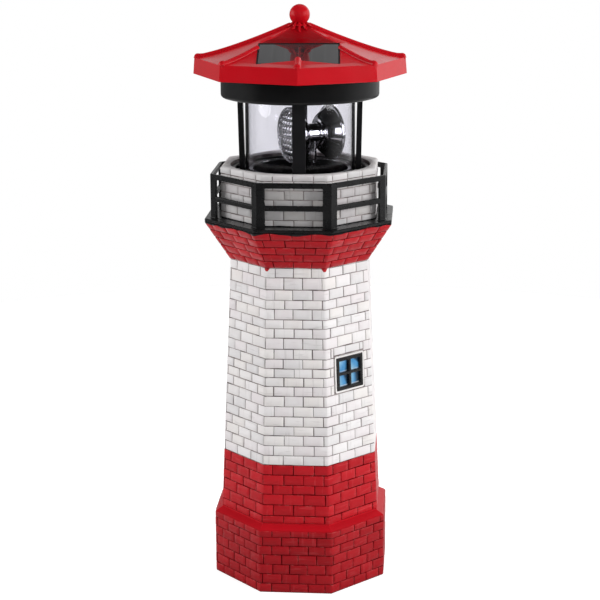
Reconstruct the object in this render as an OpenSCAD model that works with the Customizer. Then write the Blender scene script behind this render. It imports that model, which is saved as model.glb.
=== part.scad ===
// Garden lighthouse ornament: an octagonal cast tower with a gallery, and a lift-out
// solar lantern whose double reflector turns on a geared spindle.
// Millimetres, +Z up, origin at the centre of the base, front of the tower towards -Y.

/* [Tower] */
// Width of the plinth across its flats
plinth_af = 107.5; // [100:0.5:116]
// Height of the plinth
plinth_h = 41.6; // [30:0.2:60]
// Width of the shaft across its flats where it stands on the plinth
shaft_af = 99; // [96:0.5:101]
// Width of the shaft across its flats at its narrow top
waist_af = 84; // [82:0.5:92]
// Height of the narrow top of the shaft
waist_h = 205.8; // [180:0.2:210]
// Width of the gallery across its flats
gallery_af = 114.2; // [110:0.2:122]
// Height of the top of the flared brickwork
gallery_h = 230.4; // [226:0.2:250]
// Width of the parapet across its flats
parapet_af = 94; // [93:0.2:96]
// Height of the parapet above the flared brickwork
parapet_h = 33; // [30:0.2:40]
// Bevel round the outer edges of the plinth and the parapet
edge_bevel = 0.8; // [0.4:0.1:1.5]
// Rise of the sloped shoulder from the plinth up to the shaft
shoulder_h = 2.6; // [1:0.1:4]
// Wall of the cast shaft at its flats
shaft_wall = 5; // [4:0.1:6]
// Thickness of the cover that closes the foot
base_cover_t = 3; // [2:0.1:5]
// Shoulder in the wall that the base cover is glued against
base_shoulder = 3; // [2:0.1:4]

/* [Window] */
// Width of the black window frame
window_w = 21.6; // [16:0.2:26]
// Height of the black window frame
window_h = 20.6; // [16:0.2:30]
// Height of the middle of the window
window_z = 138.6; // [110:0.2:170]
// Width of the frame's outer bars
window_bar = 2.2; // [1.4:0.1:3]
// Width of the two crossing bars
window_cross = 1.8; // [1:0.1:2.6]
// How far the frame stands out of the wall
window_proud = 1.4; // [0.8:0.1:2]
// Depth of the pocket that holds the panes
window_pocket = 1.6; // [1:0.1:2.4]
// Width of the moulded border round the frame
window_border = 1.3; // [0.8:0.1:2]

/* [Railing] */
// Width of the railing across its flats
railing_af = 106.8; // [105:0.2:109]
// Height of the railing above its floor
railing_h = 27.4; // [20:0.2:32]
// Thickness of the railing's rails and posts
railing_t = 1.8; // [1.2:0.1:2.4]
// Width of each leg of a corner post, along the side
post_leg = 5; // [3:0.1:7]
// Height of a rail
rail_h = 3.3; // [2.4:0.1:4.5]
// Height of the middle of the lower rail above the floor
rail_mid = 12.2; // [8:0.2:16]
// Thickness of the railing's floor ring
floor_t = 2; // [1.4:0.1:3]

/* [Lantern] */
// Turn of the whole lantern in the tower's round socket
lantern_turn = 3; // [0:1:20]
// Radius of the socket in the parapet
socket_r = 43.2; // [43:0.1:44]
// Depth of the socket down to its ledge
socket_depth = 8.4; // [6:0.1:11]
// Play between the lantern and the tower
socket_play = 0.5; // [0.4:0.05:0.8]
// Thickness of the frame's base plate
frame_plate_t = 3.8; // [3:0.1:5]
// Width of the rim that stands round the base plate
frame_rim_w = 2.3; // [1.8:0.1:2.6]
// Height of that rim above the base plate
frame_rim_h = 2.2; // [1.8:0.1:2.6]
// Clear height between the base plate and the ring under the roof
lantern_h = 45.8; // [42:0.2:60]
// Width of a lantern post
lantern_post_w = 7.8; // [5:0.1:9]
// Depth of a lantern post
lantern_post_d = 3.3; // [2.4:0.1:3.6]
// How far a post leans out from its foot to its top
post_lean = 0.9; // [0:0.1:1.2]
// Outer radius of the clear tube
tube_r = 33.8; // [33:0.1:34.2]
// Wall of the clear tube
tube_t = 1.8; // [1.2:0.1:2.4]
// Radius of the clear tube's foot flange
flange_r = 39.8; // [39:0.1:40]
// Thickness of that flange
flange_t = 1.6; // [1.2:0.1:2]
// Thickness of the rubber seal on top of the tube
seal_t = 1.2; // [0.8:0.1:2]
// Radius of the black deck inside the tube
deck_r = 29.4; // [28:0.1:30]
// Thickness of the deck
deck_t = 4.2; // [3.4:0.1:4.6]

/* [Roof] */
// Radius of the black ring under the roof
ring_r = 48.5; // [46:0.1:50]
// Wall of that ring
ring_t = 2.4; // [1.8:0.1:3]
// Height of the ring below the eaves
ring_show = 13.7; // [12:0.1:18]
// Height of the ring inside the roof
ring_inside = 3.7; // [3:0.1:5]
// Radius of the roof to its corners, at the top of the brim
roof_r = 64.3; // [62:0.1:68]
// How far the brim's foot stands out past its top
brim_out = 0.8; // [0:0.1:2]
// Height of the brim
brim_h = 9.7; // [8:0.1:12]
// Rise of the roof from the brim to its point
roof_rise = 22; // [18:0.2:26]
// Sweep of the roof, 1 for straight slopes
roof_sweep = 1.3; // [1.1:0.05:1.5]
// Wall of the roof shell
roof_wall = 2.2; // [1.8:0.1:2.6]
// Width of a ridge rib
ridge_w = 3.2; // [2.4:0.1:4]
// Height of a ridge rib above the roof
ridge_h = 1.6; // [1:0.1:2]
// Radius of the finial's ball
ball_r = 6.25; // [5:0.05:8]
// Height of the ball's middle above the roof's point
ball_rise = 3.75; // [3.5:0.05:6]

/* [Solar panel] */
// Width of the solar panel
panel_w = 47.2; // [40:0.2:48]
// Length of the solar panel up the slope
panel_l = 31; // [26:0.2:32]
// Thickness of the solar panel
panel_t = 1.8; // [1.4:0.1:2.2]
// Slope of the solar panel
panel_tilt = 16.5; // [15:0.5:18]
// Distance of the panel's lower edge in front of the lantern's axis
panel_front = 48; // [47:0.2:49]
// Height of the panel's lower edge above the top of the brim
panel_lift = 1; // [0.6:0.1:1.4]
// Width of the black gasket round the panel
gasket_w = 0.7; // [0.5:0.1:1]

/* [Beacon] */
// Distance of the beacon's spindle from the lantern's axis
beacon_x = 6.5; // [5:0.1:8]
// Height of the reflectors' axis above the frame's base plate
beacon_h = 22.6; // [20:0.1:24]
// Direction of the reflectors' axis at rest, from the lantern's X axis
beacon_turn = 28; // [0:1:90]
// Radius of a reflector's mouth
mouth_r = 16.2; // [13:0.1:16.5]
// Distance of a reflector's mouth from the spindle
mouth_x = 13.6; // [11:0.1:14]
// Radius of the chromed neck between the reflectors
neck_r = 6.2; // [5.6:0.1:7]
// Length of that neck
neck_l = 10; // [9.2:0.2:11]
// Wall of a reflector
reflector_t = 0.9; // [0.7:0.05:1.2]
// Crown of a lens in front of its rim
lens_crown = 2; // [1:0.1:2.6]
// Radius of the fixed stem that carries the light
stem_r = 2; // [1.8:0.05:2.4]
// Radius of the light on top of the stem
led_r = 2.5; // [2.2:0.05:2.8]
// Outer radius of the spindle that turns round the stem
spindle_r = 3.6; // [3.4:0.1:4]

/* [Gears] */
// Module of the gear teeth
gear_module = 0.5; // [0.5:0.05:0.55]
// Teeth on the gear that drives the beacon
beacon_teeth = 40; // [36:4:44]
// Teeth on the idler's small gear
idler_small_teeth = 10; // [10:1:12]
// Teeth on the idler's large gear
idler_large_teeth = 32; // [28:4:32]
// Teeth on the motor's pinion
pinion_teeth = 8; // [8:1:10]
// Face width of a gear
gear_face = 3; // [2:0.1:3.2]
// Backlash at the pitch circle
backlash = 0.16; // [0.1:0.02:0.24]
// Radial play of a shaft in its bore
running_play = 0.07; // [0.03:0.01:0.1]

/* [Lower housing] */
// Outer radius of the lower housing
cup_r = 37.8; // [37:0.1:38]
// Depth of the lower housing below the ledge
cup_h = 33; // [32:0.2:40]
// Wall of the lower housing
cup_t = 2; // [1.6:0.1:2.4]
// Depth of the gear plate below the ledge
gear_plate_drop = 12; // [11:0.2:13]
// Thickness of the gear plate
gear_plate_t = 2; // [1.6:0.1:2.4]
// Radius of the rechargeable cell
cell_r = 7.1; // [5.2:0.1:7.2]
// Length of the rechargeable cell
cell_l = 50; // [44:0.2:50]
// Distance of the cell in front of the lantern's axis
cell_y = 16; // [15:0.2:17]
// Radius of the motor
motor_r = 6; // [5:0.1:6.5]
// Length of the motor
motor_l = 12; // [9:0.2:12]
// Length of the circuit board
board_l = 38; // [30:0.5:40]
// Width of the circuit board
board_w = 15; // [12:0.5:16]
// Travel of the switch
switch_travel = 2.5; // [2:0.1:3]
// Radius of the screws' shanks
screw_r = 1.1; // [0.9:0.05:1.3]

/* [Hidden] */
$fn = 64;

overlap = 0.01;      // how far a cut runs past a face
long = 400;          // longer than any side of the object
corner = cos(22.5);  // apothem of an octagon over the radius to its corners
gap = 0.2;           // play between fixed pieces
bevel = 0.6;         // small moulded edges

// Tower
plinth_a = plinth_af / 2;
shaft_a = shaft_af / 2;
waist_a = waist_af / 2;
gallery_a = gallery_af / 2;
parapet_a = parapet_af / 2;
parapet_top = gallery_h + parapet_h;
ledge_z = parapet_top - socket_depth;
taper = atan((shaft_a - waist_a) / (waist_h - plinth_h));
cavity_top_r = waist_a - shaft_wall;
throat_r = cup_r + socket_play;
function shaft_apothem(z) = shaft_a - (z - plinth_h) * tan(taper);

// Railing
floor_top = gallery_h + floor_t;
railing_a = railing_af / 2;
bay = 2 * railing_a * tan(22.5) - 2 * post_leg;

// Lantern frame and tube
plate_top = ledge_z + frame_plate_t;
frame_r = socket_r - socket_play;
ring_z = plate_top + lantern_h;
post_in = tube_r + 0.3;
peg_w = 4.4;
peg_d = 1.6;
peg_h = 3;
tube_in = tube_r - tube_t;
collar_t = 1.5;
seal_z = ring_z + ring_t + peg_h;
tube_top = seal_z - seal_t;

// Roof
eave_z = ring_z + ring_show;
brim_top = eave_z + brim_h;
apex_z = brim_top + roof_rise;
ball_z = apex_z + ball_rise;
ring_top = eave_z + ring_inside;
roof_steps = 10;
boss_r = 3;
roof_screw_r = 41.5;
function roof_z(r) = brim_top + roof_rise * pow(max(0, 1 - r / roof_r), roof_sweep);
finial_foot_r = 6.5;
finial_seat = roof_z(finial_foot_r);
finial_stub_r = 2.4;
finial_stub = 3;
petals = 8;

// Solar panel
panel_z = brim_top + panel_lift;
pocket_w = panel_w + 2 * gasket_w + gap;
pocket_l = panel_l + 2 * gasket_w + gap;
pocket_d = panel_t + gasket_w;
pocket_floor = 2;
scoop_foot = panel_front - pocket_l * cos(panel_tilt);
scoop_z = panel_z + pocket_l * sin(panel_tilt);
scoop_top = finial_foot_r * 0.6;
scoop_over = 6;      // how far the scoop's cut runs over the panel

// Beacon
beacon_z = plate_top + beacon_h;
neck_half = neck_l / 2;
barrel_r = neck_r - 1.2;
barrel_bore = 3.9;
barrel_half = neck_half + 2;
rim_w = 0.9;
rim_t = 0.8;
bowl_steps = 12;
bowl_power = 0.45;
lens_t = 1.2;
led_room = led_r + 0.7;
led_len = 6.5;
led_base = beacon_z - 3.4;
function bowl_r(x) = neck_r + (mouth_r - neck_r) * pow((x - neck_half) / (mouth_x - neck_half), bowl_power);

// Gears
gear_plate_top = ledge_z - gear_plate_drop + gear_plate_t;
low_gear_z = gear_plate_top + 0.5;
high_gear_z = low_gear_z + gear_face + 0.5;
idler_dist = gear_module * (beacon_teeth + idler_small_teeth) / 2;
pinion_dist = gear_module * (idler_large_teeth + pinion_teeth) / 2;
idler_angle = 120;
pinion_angle = 200;
idler_pos = [beacon_x + idler_dist * cos(idler_angle), idler_dist * sin(idler_angle)];
pinion_pos = idler_pos + pinion_dist * [cos(pinion_angle), sin(pinion_angle)];
idler_pin_r = 1;
motor_shaft_r = 0.75;
pressure_angle = 20;

// Lower housing
cup_z = ledge_z - cup_h;
cup_floor = cup_z + cup_t;
cup_in = cup_r - cup_t;
cup_step = 1.3;
cup_room = 11.2;     // free room in the tower below the lower housing
throat_z = cup_z - cup_room;
cell_z = cup_floor + 0.4 + cell_r;
contact_t = 0.5;
contact_w = 9;
door_w = 2 * cell_r + 1.4;
door_l = cell_l + 9;
door_y = -cell_y;
door_screw_x = cell_l / 2 + 2.6;
board_t = 1.6;
board_z = cup_floor + 4;
board_y = 15.5;
switch_l = 8.6;
switch_w = 4.4;
knob_l = 2.4;
knob_w = 1.8;
frame_screw_r = 32.9;
screw_head_r = 2.1;
screw_head_h = 1.2;
frame_screw_l = 8;
roof_screw_l = 10;
roof_screw_room = 5.2;
door_screw_l = 4;
coil = [3, 4];               // radius and height
coil_pos = [-10, 1];
capacitor = [2, 5];          // radius and height
capacitor_pos = [-2.5, 4];
chip = [5, 4, 1.5];
chip_pos = [6, -1];

module lantern_place() {
    rotate([0, 0, lantern_turn]) children();
}

module spindle_place() {
    lantern_place() translate([beacon_x, 0, 0]) children();
}

// children along the reflectors' axis, side 1 to the left and -1 to the right
module reflector_place(side) {
    spindle_place()
        translate([0, 0, beacon_z])
            rotate([0, 0, beacon_turn + (side > 0 ? 180 : 0)])
                rotate([0, 90, 0])
                    children();
}

module corners(count = 8, start = 0) {
    for (i = [0 : count - 1]) rotate([0, 0, start + i * 360 / count]) children();
}

// an octagonal solid whose apothem at every height comes from one profile of [apothem, z]
module octagon_form(profile, turn = 0) {
    back = [for (i = [len(profile) - 1 : -1 : 0]) [-profile[i][0], profile[i][1]]];
    intersection() {
        octagon_pair(concat(profile, back), turn);
        octagon_pair(concat(profile, back), turn + 45);
        octagon_pair(concat(profile, back), turn + 90);
        octagon_pair(concat(profile, back), turn + 135);
    }
}

module octagon_pair(outline, turn) {
    rotate([0, 0, turn]) rotate([90, 0, 0]) linear_extrude(long, center = true) polygon(outline);
}

// an octagonal prism with flat faces to the front
module octagon_prism(apothem, low, high) {
    translate([0, 0, low]) rotate([0, 0, 22.5]) cylinder(r = apothem / corner, h = high - low, $fn = 8);
}

module disc(r, low, high) {
    translate([0, 0, low]) cylinder(r = r, h = high - low);
}

module ring(r_out, r_in, low, high) {
    difference() {
        disc(r_out, low, high);
        disc(r_in, low - overlap, high + overlap);
    }
}

// a screw with a pan head, its head's underside at the origin and its shank towards -Z
module screw(length) {
    rotate_extrude()
        polygon([
            [0, -length], [screw_r * 0.5, -length], [screw_r, -length + screw_r], [screw_r, 0],
            [screw_head_r, 0], [screw_head_r, screw_head_h * 0.6],
            [screw_head_r - 0.5, screw_head_h], [0, screw_head_h]
        ]);
}

// ---------- tower ----------

module tower_outside() {
    root = shaft_wall;
    octagon_form([
        [plinth_a, 0], [plinth_a, plinth_h - edge_bevel], [plinth_a - edge_bevel, plinth_h],
        [shaft_a - 1, plinth_h + shoulder_h]
    ]);
    octagon_form([[shaft_apothem(plinth_h - root), plinth_h - root], [waist_a, waist_h], [gallery_a, gallery_h]]);
    octagon_form([
        [parapet_a, gallery_h - root], [parapet_a, parapet_top - edge_bevel],
        [parapet_a - edge_bevel, parapet_top]
    ]);
}

module tower_inside() {
    cavity_foot_r = shaft_a - shaft_wall;
    rotate_extrude()
        polygon([
            [0, -overlap], [cavity_foot_r + base_shoulder, -overlap],
            [cavity_foot_r + base_shoulder, base_cover_t], [cavity_foot_r, base_cover_t],
            [cavity_foot_r, plinth_h], [cavity_top_r, throat_z - 2 * shaft_wall],
            [throat_r, throat_z], [throat_r, ledge_z], [socket_r, ledge_z],
            [socket_r, parapet_top - bevel], [socket_r + bevel, parapet_top],
            [socket_r + bevel, parapet_top + 1], [0, parapet_top + 1]
        ]);
}

// children on the front-right face of the shaft at the window, +Z out of the wall
module window_place() {
    rotate([0, 0, 45])
        translate([0, -shaft_apothem(window_z), window_z])
            rotate([90 - taper, 0, 0])
                children();
}

module window_plate(w, h, low, high) {
    translate([-w / 2, -h / 2, low]) cube([w, h, high - low]);
}

module tower_shell() {
    color("ivory")
        difference() {
            union() {
                tower_outside();
                window_place()
                    window_plate(window_w + 2 * window_border, window_h + 2 * window_border,
                                 -1, window_proud / 2);
            }
            tower_inside();
            window_place() window_plate(window_w, window_h, -window_pocket, window_proud);
        }
}

module base_cover() {
    cover_r = shaft_a - shaft_wall + base_shoulder - gap;
    color("dimgray")
        difference() {
            disc(cover_r, 0, base_cover_t);
            // shallow moulded pocket on the hidden upper side
            disc(cover_r - 8, base_cover_t - 1, base_cover_t + overlap);
        }
}

module window_panes() {
    color("steelblue")
        window_place()
            window_plate(window_w - gap, window_h - gap, -window_pocket, -window_pocket + 1);
}

module window_frame() {
    inner_w = (window_w - 2 * window_bar - window_cross) / 2;
    inner_h = (window_h - 2 * window_bar - window_cross) / 2;
    color("black")
        window_place()
            difference() {
                window_plate(window_w - gap, window_h - gap, -window_pocket + 1, window_proud);
                for (x = [-1, 1], y = [-1, 1])
                    translate([x * (inner_w + window_cross) / 2, y * (inner_h + window_cross) / 2, 0])
                        window_plate(inner_w, inner_h, -window_pocket, window_proud + 1);
            }
}

module gallery_railing() {
    top = floor_top + railing_h;
    color("black") {
        difference() {
            octagon_prism(gallery_a, gallery_h, floor_top);
            octagon_prism(parapet_a + gap, gallery_h - overlap, floor_top + overlap);
        }
        difference() {
            octagon_prism(railing_a, floor_top, top);
            octagon_prism(railing_a - railing_t, floor_top - overlap, top + overlap);
            corners()
                translate([-bay / 2, -railing_a - 1, 0]) {
                    translate([0, 0, floor_top - overlap])
                        cube([bay, railing_t + 3, rail_mid - rail_h / 2 + overlap]);
                    translate([0, 0, floor_top + rail_mid + rail_h / 2])
                        cube([bay, railing_t + 3, railing_h - rail_mid - 1.5 * rail_h]);
                }
        }
    }
}

// ---------- lantern frame and glazing ----------

module lantern_post() {
    lean = atan(post_lean / lantern_h);
    translate([0, 0, plate_top - 0.5])
        difference() {
            translate([0, post_in, 0])
                rotate([-lean, 0, 0])
                    translate([-lantern_post_w / 2, 0, -1])
                        cube([lantern_post_w, lantern_post_d, lantern_h + 3]);
            translate([-lantern_post_w, post_in - 5, lantern_h + 0.5])
                cube([2 * lantern_post_w, 20, 10]);
            translate([-lantern_post_w, post_in - 5, -10])
                cube([2 * lantern_post_w, 20, 10]);
        }
    translate([-peg_w / 2, post_in + post_lean + lantern_post_d / 2 - peg_d / 2, ring_z - 1])
        cube([peg_w, peg_d, peg_h + 1]);
}

module lantern_frame() {
    color("black")
        lantern_place()
            difference() {
                union() {
                    ring(frame_r, deck_r + gap, ledge_z, plate_top);
                    ring(frame_r, frame_r - frame_rim_w, plate_top - overlap, plate_top + frame_rim_h);
                    corners(4) lantern_post();
                }
                corners(4, 45)
                    translate([frame_screw_r, 0, 0]) {
                        disc(screw_head_r + gap, plate_top - screw_head_h - 0.1, plate_top + 1);
                        disc(screw_r + gap, ledge_z - 1, plate_top);
                    }
            }
}

module frame_screws() {
    color("silver")
        lantern_place()
            corners(4, 45)
                translate([frame_screw_r, 0, plate_top - screw_head_h - 0.1])
                    screw(length = frame_screw_l);
}

module lens_tube() {
    fillet = 1.2;
    color("lightcyan", 0.4)
        lantern_place()
            difference() {
                rotate_extrude()
                    polygon([
                        [deck_r + gap, plate_top], [flange_r, plate_top],
                        [flange_r, plate_top + flange_t], [tube_r + fillet, plate_top + flange_t],
                        [tube_r + fillet * 0.3, plate_top + flange_t + fillet * 0.3],
                        [tube_r, plate_top + flange_t + fillet], [tube_r, tube_top],
                        [tube_in, tube_top], [tube_in, plate_top + flange_t + fillet],
                        [tube_in - fillet * 0.3, plate_top + flange_t + fillet * 0.3],
                        [tube_in - fillet, plate_top + flange_t], [deck_r + gap, plate_top + flange_t]
                    ]);
                corners(4)
                    translate([-lantern_post_w / 2 - gap, post_in - gap, plate_top - 1])
                        cube([lantern_post_w + 2 * gap, 10, flange_t + 2.5]);
            }
}

module tube_seal() {
    color("dimgray")
        lantern_place()
            ring(tube_r, tube_in, tube_top, seal_z);
}

module deck_plate() {
    hole_r = spindle_r + 0.6;
    color("black")
        lantern_place()
            difference() {
                union() {
                    disc(deck_r, plate_top + flange_t + 0.3 - deck_t, plate_top + flange_t + 0.3);
                    translate([beacon_x, 0, 0])
                        disc(hole_r + 1.8, plate_top + flange_t, plate_top + flange_t + 1.3);
                }
                translate([beacon_x, 0, 0])
                    disc(hole_r, plate_top - 10, plate_top + 10);
                // underside is hollow above the gears
                ring(deck_r - 2, hole_r + beacon_x + 2.5, plate_top - 10, plate_top + flange_t - 1.5);
            }
}

module ring_housing() {
    round_r = 1.8;
    color("black")
        lantern_place()
            difference() {
                union() {
                    rotate_extrude()
                        polygon([
                            [tube_r + 0.3, ring_z], [ring_r - round_r, ring_z],
                            [ring_r - round_r * 0.45, ring_z + round_r * 0.15],
                            [ring_r - round_r * 0.15, ring_z + round_r * 0.45],
                            [ring_r, ring_z + round_r], [ring_r, ring_top],
                            [ring_r - ring_t, ring_top], [ring_r - ring_t, ring_z + ring_t],
                            [tube_r + 0.3 + collar_t, ring_z + ring_t],
                            [tube_r + 0.3 + collar_t, seal_z + ring_t], [0, seal_z + ring_t],
                            [0, seal_z], [tube_r + 0.3, seal_z]
                        ]);
                    corners(4, 45)
                        translate([roof_screw_r, 0, 0])
                            disc(boss_r + 1, ring_z + 1, ring_z + ring_t + 1.5);
                }
                corners(4)
                    translate([-peg_w / 2 - gap, post_in + post_lean + lantern_post_d / 2 - peg_d / 2 - gap,
                               ring_z - 1])
                        cube([peg_w + 2 * gap, peg_d + 2 * gap, ring_t + 2]);
                corners(4, 45)
                    translate([roof_screw_r, 0, 0]) {
                        disc(screw_head_r + gap, ring_z - 1, ring_z + screw_head_h + 0.3);
                        disc(screw_r + gap, ring_z, ring_z + ring_t + 2);
                    }
            }
}

// ---------- roof ----------

function roof_profile(drop, shrink) = [
    for (i = [0 : roof_steps])
        let (r = roof_r * (1 - i / roof_steps))
            [max(0, r * corner - shrink * (1 - i / roof_steps)), roof_z(r) - drop]
];

module roof_outside() {
    octagon_form(concat([[(roof_r + brim_out) * corner, eave_z]], roof_profile(0, 0)), 22.5);
}

module roof_inside() {
    octagon_form(concat([[(roof_r + brim_out) * corner - roof_wall, eave_z - 1]],
                        roof_profile(roof_wall, roof_wall)), 22.5);
}

module ridge_band(width, height, from_r, to_r) {
    over = [for (i = [0 : roof_steps]) let (r = from_r + (to_r - from_r) * i / roof_steps) [r, roof_z(r) + height]];
    under = [for (i = [roof_steps : -1 : 0]) let (r = from_r + (to_r - from_r) * i / roof_steps) [r, roof_z(r) - 1.2]];
    rotate([90, 0, 0]) linear_extrude(width, center = true) polygon(concat(over, under));
}

module ridge_rib(from_r) {
    ridge_band(ridge_w, ridge_h * 0.6, from_r, roof_r - 0.3);
    ridge_band(ridge_w * 0.55, ridge_h, from_r, roof_r - 0.3);
}

// children laid on the panel's slope: +Z out of the panel, origin at its lower edge
module panel_place() {
    lantern_place()
        translate([0, -panel_front, panel_z])
            rotate([panel_tilt, 0, 0])
                children();
}

module panel_block(w, l, low, high) {
    translate([-w / 2, (panel_l - l) / 2, low]) cube([w, l, high - low]);
}

// the hollow that runs from the finial down to the panel's upper edge; grow leaves room for its wall
module scoop(grow = 0) {
    foot = pocket_w / 2 + 1.5 * grow;
    head = scoop_top + 1.5 * grow;
    back = scoop_top - grow;
    drop = 1.25 * grow;
    intersection() {
        translate([0, 0, brim_top])
            linear_extrude(2 * roof_rise)
                polygon([
                    [head, -back], [foot, -scoop_foot + grow], [foot, -scoop_foot - scoop_over],
                    [-foot, -scoop_foot - scoop_over], [-foot, -scoop_foot + grow], [-head, -back]
                ]);
        rotate([90, 0, 90])
            linear_extrude(long, center = true)
                polygon([
                    [-scoop_foot - 2 * scoop_over, scoop_z - 1 - drop], [-scoop_foot, scoop_z - drop],
                    [-scoop_foot * 0.7, scoop_z + 2.6 - drop], [-scoop_foot * 0.45, scoop_z + 6 - drop],
                    [-back, finial_seat - drop], [-back, apex_z + 5],
                    [-scoop_foot - 2 * scoop_over, apex_z + 5]
                ]);
    }
}

module roof_cap() {
    seat_in = ring_r - ring_t - 2.4;
    front_ridge = pocket_w / sqrt(2) - 1;
    color("crimson")
        difference() {
            union() {
                difference() {
                    lantern_place() roof_outside();
                    lantern_place()
                        difference() {
                            roof_inside();
                            // the seat that the ring housing's wall meets
                            ring(ring_r, seat_in, ring_top, apex_z);
                            corners(4, 45)
                                translate([roof_screw_r, 0, 0])
                                    disc(boss_r, ring_z + ring_t + 1.5, apex_z);
                            // boss under the finial
                            disc(finial_stub_r + 2, finial_seat - finial_stub - 2, apex_z);
                            // wall behind the scoop
                            scoop(roof_wall);
                        }
                }
                // tray that holds the panel
                intersection() {
                    lantern_place() roof_outside();
                    panel_place()
                        panel_block(pocket_w + 2 * roof_wall, pocket_l + 2 * roof_wall,
                                    -pocket_d - pocket_floor, 0);
                }
                lantern_place() {
                    for (a = [0 : 45 : 180])
                        rotate([0, 0, a]) ridge_rib(finial_foot_r * 0.8);
                    for (a = [225, 315])
                        rotate([0, 0, a]) ridge_rib(front_ridge);
                    rotate([0, 0, 270]) ridge_rib(panel_front);
                }
            }
            panel_place() panel_block(pocket_w, pocket_l, -pocket_d, 12);
            lantern_place() {
                scoop();
                disc(finial_stub_r + 0.1, finial_seat - finial_stub - 0.3, finial_seat + 1);
                disc(finial_foot_r + gap, finial_seat, apex_z + 10);
                corners(4, 45)
                    translate([roof_screw_r, 0, 0])
                        disc(screw_r + 0.05, 0, ring_z + screw_head_h + roof_screw_l + roof_screw_room);
            }
        }
}

module roof_screws() {
    color("silver")
        lantern_place()
            corners(4, 45)
                translate([roof_screw_r, 0, ring_z + screw_head_h])
                    rotate([180, 0, 0])
                        screw(length = roof_screw_l);
}

module finial() {
    seat = finial_seat;
    neck = 2.5;
    color("crimson")
        lantern_place() {
            rotate_extrude()
                polygon([
                    [0, seat - finial_stub], [finial_stub_r, seat - finial_stub], [finial_stub_r, seat],
                    [finial_foot_r * 0.85, seat], [finial_foot_r * 0.8, seat + 0.8],
                    [finial_foot_r * 0.65, seat + 1.4], [neck + 0.4, seat + 2.2], [neck, seat + 2.8],
                    [neck, ball_z - ball_r * 0.8], [0, ball_z - ball_r * 0.8]
                ]);
            translate([0, 0, ball_z]) sphere(ball_r);
            // small leaves lying round the foot
            corners(petals, 22.5)
                translate([finial_foot_r * 0.68, 0, seat + 0.55])
                    rotate([0, 24, 0])
                        cylinder(r = 1.3, h = 1, $fn = 16);
        }
}

module solar_panel() {
    color("dimgray")
        panel_place()
            panel_block(panel_w, panel_l, -panel_t, 0);
}

module panel_gasket() {
    color("black")
        panel_place()
            difference() {
                panel_block(panel_w + 2 * gasket_w, panel_l + 2 * gasket_w, -pocket_d, 0.2);
                panel_block(panel_w, panel_l, -panel_t, 1);
                panel_block(panel_w - 4, panel_l - 4, -pocket_d - 1, 1);
            }
}

// ---------- gears ----------

function involute_angle(a) = tan(a) * 180 / PI - a;

// half of the angle that a tooth fills at radius r
function tooth_half(teeth, r) =
    let (pitch = gear_module * teeth / 2, base = pitch * cos(pressure_angle))
        90 / teeth - backlash / pitch * 45 / PI
        + involute_angle(pressure_angle) - involute_angle(acos(min(1, base / r)));

module gear(teeth, bore, face) {
    pitch = gear_module * teeth / 2;
    root = pitch - 1.2 * gear_module;
    tip = pitch + 0.9 * gear_module;
    levels = [root, pitch, tip];
    rising = [for (r = levels) [r, -tooth_half(teeth, r)]];
    falling = [for (i = [2 : -1 : 0]) [levels[i], tooth_half(teeth, levels[i])]];
    tooth = concat(rising, falling);
    difference() {
        linear_extrude(face)
            polygon([
                for (i = [0 : teeth - 1], p = tooth)
                    let (a = 360 * i / teeth + p[1])
                        p[0] * [cos(a), sin(a)]
            ]);
        translate([0, 0, -1]) cylinder(r = bore, h = face + 2);
    }
}

module beacon_gear() {
    color("white")
        spindle_place()
            translate([0, 0, high_gear_z])
                rotate([0, 0, idler_angle])
                    gear(beacon_teeth, spindle_r + 0.03, gear_face);
}

module idler_gear() {
    bore = idler_pin_r + running_play;
    color("white")
        lantern_place()
            translate([idler_pos[0], idler_pos[1], low_gear_z]) {
                // a gap of the small gear faces a tooth of the beacon's gear
                translate([0, 0, gear_face])
                    rotate([0, 0, idler_angle + 180 + 180 / idler_small_teeth])
                        gear(idler_small_teeth, bore, gear_face + 0.5);
                rotate([0, 0, pinion_angle])
                    gear(idler_large_teeth, bore, gear_face + overlap);
            }
}

module idler_pin() {
    top = high_gear_z + gear_face;
    color("silver")
        lantern_place()
            translate([idler_pos[0], idler_pos[1], 0]) {
                disc(idler_pin_r, gear_plate_top - gear_plate_t, top + 0.4);
                disc(idler_pin_r + 0.8, top + 0.3, top + 0.9);
            }
}

module motor_pinion() {
    color("gold")
        lantern_place()
            translate([pinion_pos[0], pinion_pos[1], 0]) {
                translate([0, 0, low_gear_z])
                    rotate([0, 0, pinion_angle + 180 + 180 / pinion_teeth])
                        gear(pinion_teeth, motor_shaft_r - 0.1, gear_face);
                disc(motor_shaft_r, gear_plate_top - gear_plate_t - 4, low_gear_z + gear_face + 0.4);
            }
}

module motor() {
    top = gear_plate_top - gear_plate_t;
    color("silver")
        lantern_place()
            translate([pinion_pos[0], pinion_pos[1], 0])
                difference() {
                    union() {
                        disc(motor_r, top - motor_l, top);
                        disc(motor_r * 0.4, top - motor_l - 1, top - motor_l + 1);
                        disc(2.4, top - 1, gear_plate_top);
                    }
                    disc(motor_shaft_r + running_play, top - 5, gear_plate_top + 1);
                }
}

module gear_plate() {
    low = gear_plate_top - gear_plate_t;
    color("gainsboro")
        lantern_place()
            difference() {
                union() {
                    disc(cup_in - gap, low, gear_plate_top);
                    // washers moulded under the spindle and the idler
                    translate([beacon_x, 0, 0]) disc(spindle_r - 0.3, low, low_gear_z);
                    translate([idler_pos[0], idler_pos[1], 0]) disc(2.2, low, low_gear_z);
                }
                translate([beacon_x, 0, 0]) disc(stem_r + 0.02, low - 1, gear_plate_top + 2);
                translate([idler_pos[0], idler_pos[1], 0]) disc(idler_pin_r + 0.02, low - 1, gear_plate_top + 2);
                translate([pinion_pos[0], pinion_pos[1], 0]) disc(2.5, low - 1, gear_plate_top + 1);
                corners(4, 45)
                    translate([frame_screw_r, 0, 0]) disc(boss_r + 0.3, low - 1, gear_plate_top + 1);
            }
}

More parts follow.
